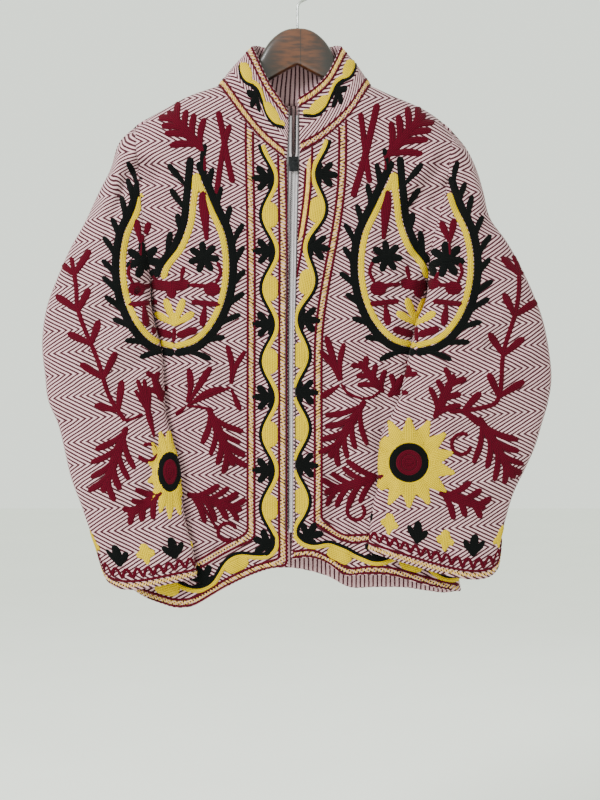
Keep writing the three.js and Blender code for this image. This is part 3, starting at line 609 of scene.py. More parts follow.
def directions(grid: np.ndarray, closed: bool) -> np.ndarray:
    """Unit directions square to a grid, on one side of it."""
    if closed:
        across = np.roll(grid, -1, axis=0) - np.roll(grid, 1, axis=0)
        chord = grid[len(grid) // 2] - grid[0]
        along = np.cross(chord, [0, 1, 0])[None] * np.ones_like(grid)
    else:
        across = np.gradient(grid, axis=0)
        along = np.gradient(grid, axis=1)
    normal = np.cross(across, along)
    return normal / np.maximum(np.linalg.norm(normal, axis=-1, keepdims=True), TINY)


@dataclass
class ClothPiece:
    """One cut piece of the jacket: a thin closed shell with an outer and an inner face."""

    name: str
    grid: np.ndarray
    facing: tuple[float, float, float]
    sample: tuple[float, float] = (0.5, 0.5)
    closed: bool = False
    free_edges: tuple[str, ...] = ()
    normals: np.ndarray | None = None
    tree: BVHTree | None = None

    def settle_normals(self) -> None:
        """Points the piece's directions to its outside."""
        raw = directions(self.grid, self.closed)
        i = int(self.sample[0] * (len(self.grid) - 1))
        j = int(self.sample[1] * (self.grid.shape[1] - 1))
        self.normals = raw * (1 if float(np.dot(raw[i, j], self.facing)) > 0 else -1)

    def cut_coordinates(self) -> tuple[np.ndarray, np.ndarray]:
        """Width and length on the flat cloth at each grid point, in metres.

        Returns:
            The two arrays; a closed piece has one column more than its grid.
        """
        grid = np.concatenate([self.grid, self.grid[:1]]) if self.closed else self.grid
        if self.name in ("front_left", "front_right", "back"):
            return grid[..., 0] * MM, grid[..., 2] * MM
        if self.closed:
            around = run_lengths(grid[..., :2])
            middle, fold = len(self.grid) // 4, len(self.grid) // 2
            around[fold + 1:] = around[-1:] - around[fold + 1:]
            around = around - around[middle]
            sign = 1 if self.name == "sleeve_left" else -1
            across = grid[middle, :, 0] + sign * around
            return across * MM, (grid[..., 2] + 11 - 0.08 * sign * around) * MM
        across = run_lengths(grid)
        across = across.mean(axis=1, keepdims=True) * np.ones_like(across)
        along = run_lengths(grid, axis=1).mean(axis=0, keepdims=True) * np.ones_like(across)
        return across * MM, -along * MM

    def build(self, outer: bpy.types.Material, inner: bpy.types.Material) -> bpy.types.Object:
        """Makes the shell's mesh, with the cloth's flat coordinates on both faces.

        Args:
            outer: cloth of the outer face.
            inner: cloth of the inner face.

        Returns:
            The new object.
        """
        columns, rows = self.grid.shape[:2]
        outside = self.grid.reshape(-1, 3)
        inside = (self.grid - self.normals * WALL).reshape(-1, 3)
        points = [outside, inside]
        count = columns * rows
        faces: list[tuple[int, ...]] = []
        spots: list[tuple[tuple[int, int], ...]] = []
        slots: list[int] = []
        spans = columns if self.closed else columns - 1
        for i in range(spans):
            k = (i + 1) % columns
            for j in range(rows - 1):
                a, b, c, d = i * rows + j, k * rows + j, k * rows + j + 1, i * rows + j + 1
                corners = ((i, j), (i + 1, j), (i + 1, j + 1), (i, j + 1))
                faces.append((a, b, c, d))
                spots.append(corners)
                slots.append(0)
                faces.append((d + count, c + count, b + count, a + count))
                spots.append(corners[::-1])
                slots.append(1)

        def edge(line: list[tuple[int, int]], free: bool) -> None:
            """Closes the wall along one edge, rounded where the edge is free."""
            base = sum(len(p) for p in points)
            index = [((i % columns) * rows + j) for i, j in line]
            if free:
                points.append((outside[index] + inside[index]) / 2 + self.beyond(line) * EDGE_ROUND)
            for n in range(len(index) - 1):
                a, b = index[n], index[n + 1]
                corners = (line[n], line[n + 1])
                if free:
                    m, q = base + n, base + n + 1
                    faces.append((b, a, m, q))
                    faces.append((q, m, a + count, b + count))
                    spots.extend([(corners[1], corners[0], corners[0], corners[1])] * 2)
                    slots.extend([0, 0])
                else:
                    faces.append((b, a, a + count, b + count))
                    spots.append((corners[1], corners[0], corners[0], corners[1]))
                    slots.append(0)

        last_i, last_j = columns - 1, rows - 1
        edge([(i, 0) for i in range(spans, -1, -1)][::-1], "top" in self.free_edges)
        edge([(i, last_j) for i in range(spans, -1, -1)], "bottom" in self.free_edges)
        if not self.closed:
            edge([(0, j) for j in range(last_j, -1, -1)], "first" in self.free_edges)
            edge([(last_i, j) for j in range(rows)], "last" in self.free_edges)
        width, length = self.cut_coordinates()
        mesh = new_mesh(self.name, np.vstack(points) * MM, faces, (outer, inner), slots)
        flat = [(width[s], length[s]) for face in spots for s in face]
        mesh.uv_layers.new(name="cut").data.foreach_set("uv", np.asarray(flat, float).ravel())
        turn_outwards(mesh)
        self.tree = BVHTree.FromPolygons(
            [Vector(p) for p in (outside * MM).tolist()],
            [f for f, s in zip(faces, slots) if s == 0 and max(f) < count],
        )
        return new_object("cloth_" + self.name, mesh)

    def area(self) -> float:
        """Area of the outer face in square metres."""
        grid = np.concatenate([self.grid, self.grid[:1]]) if self.closed else self.grid
        across = grid[1:, 1:] - grid[:-1, :-1]
        down = grid[1:, :-1] - grid[:-1, 1:]
        return float(np.linalg.norm(np.cross(across, down), axis=-1).sum() / 2) * MM * MM

    def beyond(self, line: list[tuple[int, int]]) -> np.ndarray:
        """Unit directions in which the cloth would go on past one of its edges."""
        columns, rows = self.grid.shape[:2]
        result = []
        for i, j in line:
            i %= columns
            if j in (0, rows - 1) and len({spot[1] for spot in line}) == 1:
                step = self.grid[i, j] - self.grid[i, 1 if j == 0 else rows - 2]
            else:
                step = self.grid[i, j] - self.grid[1 if i == 0 else columns - 2, j]
            result.append(step / max(float(np.linalg.norm(step)), TINY))
        return np.asarray(result)


def new_mesh(
    name: str, points: Points, faces: Sequence[tuple[int, ...]], materials: Sequence[bpy.types.Material],
    slots: Sequence[int] | None = None, smooth: bool = True,
) -> bpy.types.Mesh:
    """Makes a mesh.

    Args:
        name: its name.
        points: its points in metres.
        faces: the numbers of each face's points.
        materials: its materials.
        slots: the number of each face's material, if there are several.
        smooth: whether its faces are shaded softly.

    Returns:
        The mesh.
    """
    mesh = bpy.data.meshes.new(name)
    mesh.from_pydata([tuple(map(float, p)) for p in points], [], faces)
    mesh.polygons.foreach_set("use_smooth", [smooth] * len(faces))
    for material in materials:
        mesh.materials.append(material)
    if slots is not None:
        mesh.polygons.foreach_set("material_index", slots)
    return mesh


def new_object(name: str, mesh: bpy.types.Mesh) -> bpy.types.Object:
    """Adds a mesh to the scene as an object of the same name."""
    made = bpy.data.objects.new(name, mesh)
    bpy.context.scene.collection.objects.link(made)
    return made


def turn_outwards(mesh: bpy.types.Mesh) -> None:
    """Flips a closed mesh whose faces point inwards."""
    mesh.calc_loop_triangles()
    points = np.empty(len(mesh.vertices) * 3)
    mesh.vertices.foreach_get("co", points)
    points = points.reshape(-1, 3)
    corners = np.empty(len(mesh.loop_triangles) * 3, dtype=np.int32)
    mesh.loop_triangles.foreach_get("vertices", corners)
    a, b, c = (points[corners.reshape(-1, 3)[:, k]] for k in range(3))
    if float(np.einsum("ij,ij->i", a, np.cross(b, c)).sum()) < 0:
        mesh.flip_normals()


class NodeTree:
    """A short hand for building node trees."""

    def __init__(self, tree: bpy.types.NodeTree) -> None:
        """Wraps a tree."""
        self.tree = tree

    def add(self, kind: str, inputs: dict | None = None, **settings: object) -> bpy.types.Node:
        """Adds a node.

        Args:
            kind: the node's type name.
            inputs: values or sockets, by the input's name or number.
            settings: the node's own options.

        Returns:
            The new node.
        """
        node = self.tree.nodes.new(kind)
        for key, value in settings.items():
            setattr(node, key, value)
        for key, value in (inputs or {}).items():
            if isinstance(value, bpy.types.NodeSocket):
                self.link(value, node.inputs[key])
            else:
                node.inputs[key].default_value = value
        return node

    def link(self, source: bpy.types.NodeSocket, target: bpy.types.NodeSocket) -> None:
        """Joins an output to an input."""
        self.tree.links.new(source, target)

    def noise(
        self, place: bpy.types.NodeSocket, scale: float, detail: float, distortion: float = 0.0
    ) -> bpy.types.NodeSocket:
        """Adds a cloudy noise and gives its values."""
        inputs = {"Vector": place, "Scale": scale, "Detail": detail, "Distortion": distortion}
        return self.add("ShaderNodeTexNoise", inputs).outputs["Fac"]

    def math(self, operation: str, *values: object, clamp: bool = False) -> bpy.types.NodeSocket:
        """Adds a Math node and gives its result."""
        node = self.add("ShaderNodeMath", dict(enumerate(values)), operation=operation, use_clamp=clamp)
        return node.outputs[0]

    def mix(self, share: object, first: object, second: object) -> bpy.types.NodeSocket:
        """Mixes two colours."""
        node = self.add("ShaderNodeMix", data_type="RGBA")
        for key, value in (("Factor_Float", share), ("A_Color", first), ("B_Color", second)):
            socket = next(s for s in node.inputs if s.identifier == key)
            if isinstance(value, bpy.types.NodeSocket):
                self.link(value, socket)
            else:
                socket.default_value = value
        return next(s for s in node.outputs if s.identifier == "Result_Color")

    def ramp(self, value: bpy.types.NodeSocket, low: object, high: object) -> bpy.types.NodeSocket:
        """Eases a value from 0 at low to 1 at high."""
        node = self.add("ShaderNodeMapRange", {0: value, 1: low, 2: high}, interpolation_type="SMOOTHSTEP")
        return node.outputs[0]


class Surface(NodeTree):
    """A new material while its nodes are put together."""

    def __init__(self, name: str) -> None:
        """Makes the material and finds its shader."""
        self.material = bpy.data.materials.new(name)
        self.material.use_nodes = True
        super().__init__(self.material.node_tree)
        self.shader = self.tree.nodes["Principled BSDF"]
        self.place = self.add("ShaderNodeTexCoord").outputs["Object"]

    def finish(
        self, colour: bpy.types.NodeSocket, plain: dict[str, float],
        height: bpy.types.NodeSocket | None = None, strength: float = 0.5, distance: float = 0.0001,
    ) -> bpy.types.Material:
        """Feeds the shader.

        Args:
            colour: the base colour.
            plain: the inputs that have one value, by name.
            height: the height of the bump, if there is one.
            strength: the bump's strength.
            distance: the bump's depth in metres.

        Returns:
            The material.
        """
        self.link(colour, self.shader.inputs["Base Color"])
        if height is not None:
            bump = self.add("ShaderNodeBump", {"Height": height, "Strength": strength, "Distance": distance})
            self.link(bump.outputs[0], self.shader.inputs["Normal"])
        for label, value in plain.items():
            self.shader.inputs[label].default_value = value
        return self.material


def rgb(text: str) -> tuple[float, float, float, float]:
    """Linear colour of a hex colour."""
    values = [int(text[i:i + 2], 16) / 255 for i in (0, 2, 4)]
    linear = [v / 12.92 if v <= 0.04045 else ((v + 0.055) / 1.055) ** 2.4 for v in values]
    return (*linear, 1.0)


def shader_group(
    name: str, inputs: Sequence[tuple[str, str, float]], outputs: Sequence[tuple[str, str]],
    fill: Callable[[NodeTree, dict, bpy.types.Node], None],
) -> bpy.types.NodeTree:
    """Builds a shader node group once.

    Args:
        name: the group's name.
        inputs: name, socket type and default of each input.
        outputs: name and socket type of each output.
        fill: adds the nodes, given the tree, the input sockets by name and the output node.

    Returns:
        The group.
    """
    if name in bpy.data.node_groups:
        return bpy.data.node_groups[name]
    group = bpy.data.node_groups.new(name, "ShaderNodeTree")
    for label, kind, default in inputs:
        socket = group.interface.new_socket(name=label, in_out="INPUT", socket_type=kind)
        if kind == "NodeSocketFloat":
            socket.default_value = default
    for label, kind in outputs:
        group.interface.new_socket(name=label, in_out="OUTPUT", socket_type=kind)
    tree = NodeTree(group)
    start = group.nodes.new("NodeGroupInput")
    end = group.nodes.new("NodeGroupOutput")
    fill(tree, {s.name: s for s in start.outputs}, end)
    return group


def herringbone_group() -> bpy.types.NodeTree:
    """Shares of dark thread in a herringbone or a striped weave."""

    def fill(tree: NodeTree, given: dict, end: bpy.types.Node) -> None:
        """Adds the nodes of the weave."""
        noise = tree.noise(given["Vector"], 90.0, 3.0)
        wander = tree.math("MULTIPLY", tree.math("SUBTRACT", noise, 0.5), given["Wander"])
        parts = tree.add("ShaderNodeSeparateXYZ", {0: given["Vector"]})
        across = tree.math("ADD", parts.outputs[0], wander)
        along = parts.outputs[1]
        bands = tree.math("DIVIDE", along, given["Band"])
        zigzag = tree.math("PINGPONG", tree.math("ADD", bands, 100.0), 1.0)
        shift = tree.math("MULTIPLY", tree.math("MULTIPLY", zigzag, given["Band"]), given["Slope"])
        phase = tree.math("DIVIDE", tree.math("ADD", across, shift), given["Tip"])
        place = tree.math("FRACT", tree.math("ADD", phase, 500.0))
        centre = tree.math("MULTIPLY", tree.math("ABSOLUTE", tree.math("SUBTRACT", place, 0.5)), 2.0)
        worn = tree.noise(given["Vector"], 700.0, 2.0)
        edge = tree.math("ADD", centre, tree.math("MULTIPLY", tree.math("SUBTRACT", worn, 0.5), 0.35))
        low, high = tree.math("SUBTRACT", given["Dark"], 0.12), tree.math("ADD", given["Dark"], 0.12)
        dark = tree.math("SUBTRACT", 1.0, tree.ramp(edge, low, high))
        tree.link(dark, end.inputs["Dark thread"])
        ribs = tree.math("SINE", tree.math("MULTIPLY", along, TURN / 0.0011))
        ribs = tree.math("MULTIPLY", ribs, 0.25)
        relief = tree.math("ADD", tree.math("MULTIPLY", centre, 0.8), ribs)
        relief = tree.math("ADD", relief, tree.math("MULTIPLY", worn, 0.6))
        tree.link(relief, end.inputs["Relief"])

    number = "NodeSocketFloat"
    return shader_group(
        "weave",
        [("Vector", "NodeSocketVector", 0), ("Band", number, 0.031), ("Tip", number, 0.009),
         ("Slope", number, 1.8), ("Dark", number, 0.48), ("Wander", number, 0.0016)],
        [("Dark thread", number), ("Relief", number)],
        fill,
    )


def chain_group() -> bpy.types.NodeTree:
    """Relief of rows of chain stitch in wool, and painted shading that is light on the loops' crests and dark
    in the hollows between loops and between rows.
    """

    def fill(tree: NodeTree, given: dict, end: bpy.types.Node) -> None:
        """Adds the nodes of the stitches."""
        parts = tree.add("ShaderNodeSeparateXYZ", {0: given["Vector"]})
        row = tree.math("ADD", tree.math("DIVIDE", parts.outputs[1], given["Row"]), 500.5)
        cross = tree.math("ABSOLUTE", tree.math("SUBTRACT", tree.math("FRACT", row), 0.5))
        cross = tree.math("MULTIPLY", cross, 2.0)
        link = tree.math("ADD", tree.math("DIVIDE", parts.outputs[0], given["Length"]), 500.0)
        stagger = tree.math("MULTIPLY", tree.math("FLOOR", row), 0.37)
        link = tree.math("ADD", tree.math("ADD", link, stagger), tree.math("MULTIPLY", cross, 0.45))
        place = tree.math("ABSOLUTE", tree.math("SUBTRACT", tree.math("FRACT", link), 0.5))
        loop = tree.math("SUBTRACT", 1.0, tree.math("POWER", tree.math("MULTIPLY", place, 2.0), 3.0))
        barrel = tree.math("SUBTRACT", 1.0, tree.math("POWER", cross, 2.5))
        hair = tree.math("MULTIPLY", tree.noise(given["Vector"], 1500.0, 3.0), 0.5)
        relief = tree.math("ADD", tree.math("MULTIPLY", tree.math("ADD", loop, 0.5), barrel), hair)
        tree.link(relief, end.inputs["Relief"])
        # Painted shade: 1 on the crests of the loops, falling towards 0 in the hollows between loops and
        # rows, where shade falls.
        shade = tree.math("MULTIPLY", tree.math("ADD", loop, 0.4), barrel, clamp=True)
        tree.link(shade, end.inputs["Crest"])

    number = "NodeSocketFloat"
    return shader_group(
        "chain_stitch",
        [("Vector", "NodeSocketVector", 0), ("Row", number, 0.0022), ("Length", number, 0.0034)],
        [("Relief", number), ("Crest", number)],
        fill,
    )


@dataclass(frozen=True)
class Weave:
    """Cotton cloth of light and dark threads, as herringbone or as plain stripes."""

    name: str
    light: str = "c8a4a9"
    dark: str = "3a1820"
    band: float = 0.029
    tip: float = 0.009
    slope: float = 1.8
    share: float = 0.54
    wander: float = 0.0016

    def material(self) -> bpy.types.Material:
        """The cloth's material."""
        tree = Surface(self.name)
        cut = tree.add("ShaderNodeUVMap", uv_map="cut").outputs[0]
        weave = tree.add("ShaderNodeGroup", {
            "Vector": cut, "Band": self.band, "Tip": self.tip, "Slope": self.slope, "Dark": self.share,
            "Wander": self.wander,
        }, node_tree=herringbone_group())
        cloud, fleck = tree.noise(tree.place, 9.0, 4.0), tree.noise(cut, 900.0, 2.0)
        pale = tree.mix(tree.ramp(cloud, 0.35, 0.7), rgb(self.light), rgb("c69ea4"))
        pale = tree.mix(tree.ramp(fleck, 0.55, 0.75), pale, rgb("dcc8c4"))
        deep = tree.mix(tree.ramp(cloud, 0.3, 0.7), rgb(self.dark), rgb("3a1420"))
        colour = tree.mix(weave.outputs["Dark thread"], pale, deep)
        plain = {"Roughness": 0.92, "Sheen Weight": 0.05, "Sheen Roughness": 0.5, "Specular IOR Level": 0.1}
        return tree.finish(colour, plain, weave.outputs["Relief"], 0.5, 0.0004)


@dataclass(frozen=True)
class Wool:
    """Embroidery wool in chain stitch; deep is the darker colour of its painted shade in the hollows between
    loops, also used for its random darker tone.
    """

    yarn: Yarn
    colour: str
    deep: str
    row: float = 0.0022
    length: float = 0.0034

    def material(self) -> bpy.types.Material:
        """The wool's material, darkened towards its deep colour by painted shade in the hollows between loops
        and at random by a cloud noise.
        """
        tree = Surface("wool_" + self.yarn.value)
        along = tree.add("ShaderNodeUVMap", uv_map="stitch").outputs[0]
        inputs = {"Vector": along, "Row": self.row, "Length": self.length}
        chain = tree.add("ShaderNodeGroup", inputs, node_tree=chain_group())
        cloud = tree.math("MULTIPLY", tree.noise(tree.place, 60.0, 3.0), 0.45)
        # Painted shade from the loops' crests and hollows, plus random tone from the cloud noise, sets the
        # colour between deep and colour.
        shade = tree.math("ADD", tree.math("MULTIPLY", chain.outputs["Crest"], 0.75), cloud)
        colour = tree.mix(tree.ramp(shade, 0.1, 0.85), rgb(self.deep), rgb(self.colour))
        plain = {"Roughness": 0.88, "Sheen Weight": 0.02, "Specular IOR Level": 0.08}
        return tree.finish(colour, plain, chain.outputs["Relief"], 0.7, 0.0006)


@dataclass(frozen=True)
class Stroke:
    """One run of stitching: a line on a surface with a half width along it, in millimetres."""

    line: np.ndarray
    half: np.ndarray
    yarn: Yarn
    height: float = 1.2


def run(points: Points, width: float, yarn: Yarn, height: float = 1.1) -> Stroke:
    """A run of even width through points.

    Args:
        points: the points that the run passes.
        width: its full width.
        yarn: its colour.
        height: how far it stands out.

    Returns:
        The stroke.
    """
    line = SmoothLine(points)
    shares = even(max(5, int(line.total / STATION)))
    return Stroke(line(shares), np.full(len(shares), width / 2), yarn, height)


def maroon_line(points: Points) -> Stroke:
    """The narrow line that edges every band."""
    return run(points, LINE_WIDTH, Yarn.MAROON, 1.0)


def finger(
    base: Sequence[float], tip: Sequence[float], width: float, yarn: Yarn, bend: float = 0.0,
    fat: float = 0.7, root: float = 0.45, point: float = 0.75,
) -> Stroke:
    """A petal or leaf finger that is fattest towards its tip.

    Args:
        base: where it starts.
        tip: where it ends.
        width: its full width at the fattest place.
        yarn: its colour.
        bend: how far its middle leaves the straight line.
        fat: share of the length where it is fattest.
        root: share of the width at its base.
        point: share of the width at its tip.

    Returns:
        The stroke.
    """
    a, b = np.asarray(base, float), np.asarray(tip, float)
    reach = b - a
    square = np.array([-reach[1], reach[0]]) / max(float(np.hypot(*reach)), 1e-6)
    line = SmoothLine([a, (a + b) / 2 + square * bend, b])
    shares = even(max(5, int(line.total / STATION)))
    profile = np.where(
        shares < fat,
        root + (1 - root) * smooth_step(shares / fat),
        1 - (1 - point) * smooth_step((shares - fat) / (1 - fat)),
    )
    return Stroke(line(shares), width / 2 * profile, yarn)


def rounded_ends(line: np.ndarray, half: np.ndarray) -> tuple[np.ndarray, np.ndarray]:
    """Adds close stations at both ends of a run and rounds its ends.

    Args:
        line: the run's points.
        half: its half width at each point.

    Returns:
        The new points and half widths.
    """
    at = run_lengths(line)
    total = at[-1]
    first, last = min(half[0], total / 2), min(half[-1], total / 2)
    near = np.array([0.0, 0.08, 0.35, 1.0])
    want = np.unique(np.round(np.concatenate([at, near * first, total - near * last]), 3))
    want = want[(want >= 0) & (want <= total)]
    want[-1] = total
    places = np.stack([np.interp(want, at, line[:, k]) for k in range(2)], axis=1)
    width = np.interp(want, at, half)

    def cap(distance: np.ndarray, reach: float) -> np.ndarray:
        """Share of the width at a distance from a round end."""
        t = np.clip(distance / max(reach, 1e-6), 0, 1)
        return np.sqrt(np.clip(1 - (1 - t) ** 2, 0, 1))

    shape = np.maximum(np.minimum(cap(want, first), cap(total - want, last)), 0.12)
    return places, width * shape


def toward(x: float, z: float, reach: float, angle: float) -> tuple[float, float]:
    """Point at a distance from a place, in a direction in degrees."""
    return x + reach * math.cos(math.radians(angle)), z + reach * math.sin(math.radians(angle))


@dataclass(frozen=True)
class Fan:
    """A leaf whose fingers spread from one base."""

    x: float
    z: float
    reach: float
    aim: float
    spread: float
    count: int
    width: float = 11.0
    grow: float = 0.0
    yarn: Yarn = Yarn.MAROON
    palm: float = 0.5

    def strokes(self, random: np.random.Generator) -> list[Stroke]:
        """Fingers from one side of the leaf to the other, over a filled palm."""
        made = []
        for i in range(self.count):
            share = i / (self.count - 1) - 0.5 if self.count > 1 else 0.0
            length = self.reach * (1 - 0.5 * share**2 + self.grow * share) * random.uniform(0.92, 1.06)
            angle = self.aim + self.spread * share + random.uniform(-3, 3)
            start = toward(self.x, self.z, length * 0.08, angle)
            made.append(finger(
                start, toward(self.x, self.z, length, angle), self.width * random.uniform(0.9, 1.08),
                self.yarn, bend=-share * length * 0.14,
            ))
        if self.count > 3:
            width = self.width * self.count * 0.3
            aim = self.aim + self.spread * self.grow * 0.2
            middle = toward(self.x, self.z, self.reach * self.palm, aim)
            made.append(finger((self.x, self.z), middle, width, self.yarn, fat=0.75))
        return made


@dataclass(frozen=True)
class Leaf:
    """A long leaf: fingers off both sides of a rib, pointing forward."""

    x: float
    z: float
    reach: float
    aim: float
    lobes: int = 4
    width: float = 10.5
    open: float = 44.0

    def strokes(self, random: np.random.Generator) -> list[Stroke]:
        """The rib, then the fingers from its foot to its tip."""
        tip = toward(self.x, self.z, self.reach * 0.96, self.aim)
        made = [finger((self.x, self.z), tip, self.width * 1.3, Yarn.MAROON, fat=0.4, root=0.6)]
        line = SmoothLine(made[0].line)
        for side in (-1, 1):
            for k in range(self.lobes):
                share = 0.1 + 0.62 * (k + 0.25 * (side > 0)) / max(1, self.lobes - 1)
                x, z = line([min(share, 0.85)])[0]
                angle = self.aim + side * (self.open - 12 * share) * random.uniform(0.9, 1.1)
                length = self.reach * (0.54 - 0.26 * share) * random.uniform(0.88, 1.1)
                made.append(finger(
                    (x, z), toward(x, z, length, angle), self.width * random.uniform(0.8, 0.95), Yarn.MAROON,
                    bend=-side * length * 0.06, root=0.75,
                ))
        return made


@dataclass(frozen=True)
class Curl:
    """A stem that rolls up into a small open ring."""

    x: float
    z: float
    radius: float
    start: float
    sweep: float = 290.0
    width: float = 5.5

    def strokes(self, _: np.random.Generator) -> list[Stroke]:
        """One run round the ring."""
        angles = self.start + self.sweep * even(14)
        radii = self.radius * (1 - 0.25 * even(14))
        spots = [toward(self.x, self.z, r, a) for r, a in zip(radii, angles)]
        return [run(spots, self.width, Yarn.MAROON)]


@dataclass(frozen=True)
class Spray:
    """A bending stem with leaves in pairs."""

    stem: Points
    leaves: int
    reach: float = 36.0
    width: float = 11.0
    first: float = 0.1

    def strokes(self, random: np.random.Generator) -> list[Stroke]:
        """The stem, then its leaves, which point back up along it."""
        made = [run(self.stem, 6.6, Yarn.MAROON)]
        line = SmoothLine(self.stem)
        for k in range(self.leaves):
            share = self.first + (1 - self.first) * (k - k % 2) / max(1, self.leaves - 2) * 0.92
            near = line([max(0, share - 0.02), share, min(1, share + 0.02)])
            back = near[0] - near[2]
            angle = math.degrees(math.atan2(back[1], back[0])) + (42 if k % 2 else -42)
            x, z = near[1]
            length = self.reach * random.uniform(0.85, 1.12)
            made.append(finger(
                (x, z), toward(x, z, length, angle), self.width, Yarn.MAROON, root=0.7,
            ))
        return made


@dataclass(frozen=True)
class Stem:
    """A thin plain stem."""

    points: Points
    width: float = 4.2

    def strokes(self, _: np.random.Generator) -> list[Stroke]:
        """One run."""
        return [run(self.points, self.width, Yarn.MAROON)]


def rosette(x: float, z: float, reach: float, width: float) -> list[Stroke]:
    """A small black flower of seven petals with open gaps between them."""
    made = []
    for k in range(7):
        angle = 96 + 360 / 7 * k
        made.append(finger(
            toward(x, z, 2, angle), toward(x, z, reach, angle), width, Yarn.BLACK, fat=0.62, root=0.8
        ))
    made.append(run([(x - reach * 0.34, z), (x + reach * 0.34, z)], reach * 0.62, Yarn.BLACK, 1.5))
    return made


@dataclass(frozen=True)
class Sunflower:
    """A large flower: yellow petals, a black ring and a maroon disc."""

    x: float
    z: float
    reach: float
    petals: int = 14
    squeeze: float = 1.0

    def at(self, radius: float, angle: float) -> tuple[float, float]:
        """The place at a distance from the middle, in a direction in degrees."""
        x, z = toward(0, 0, radius, angle)
        return x * self.squeeze + self.x, z + self.z

    def ring(self, radius: float, width: float, yarn: Yarn, height: float) -> Stroke:
        """One run round the flower, a little over the full turn."""
        return run([self.at(radius, a) for a in 388 * even(38)], width, yarn, height)

    def strokes(self, random: np.random.Generator) -> list[Stroke]:
        """Petals, the filled ground under them, and the rings."""
        made = []
        for k in range(self.petals):
            angle = 360 * (k + 0.5) / self.petals
            length = self.reach * random.uniform(0.95, 1.03)
            width = self.reach * 0.34 * (0.4 + 0.6 * self.squeeze)
            made.append(finger(
                self.at(self.reach * 0.45, angle), self.at(length * 1.03, angle), width, Yarn.YELLOW,
                fat=0.35, root=0.95, point=0.34,
            ))
        for share, width in ((0.46, 0.15), (0.57, 0.14), (0.67, 0.13)):
            made.append(self.ring(self.reach * share, self.reach * width, Yarn.YELLOW, 1.0))
        made.append(self.ring(self.reach * 0.365, self.reach * 0.2, Yarn.BLACK, 1.6))
        for share in (0.23, 0.12):
            made.append(self.ring(self.reach * share, self.reach * 0.13, Yarn.MAROON, 1.8))
        heart = [self.at(self.reach * 0.09, angle) for angle in (180, 0)]
        made.append(run(heart, self.reach * 0.18, Yarn.MAROON, 2.2))
        return made


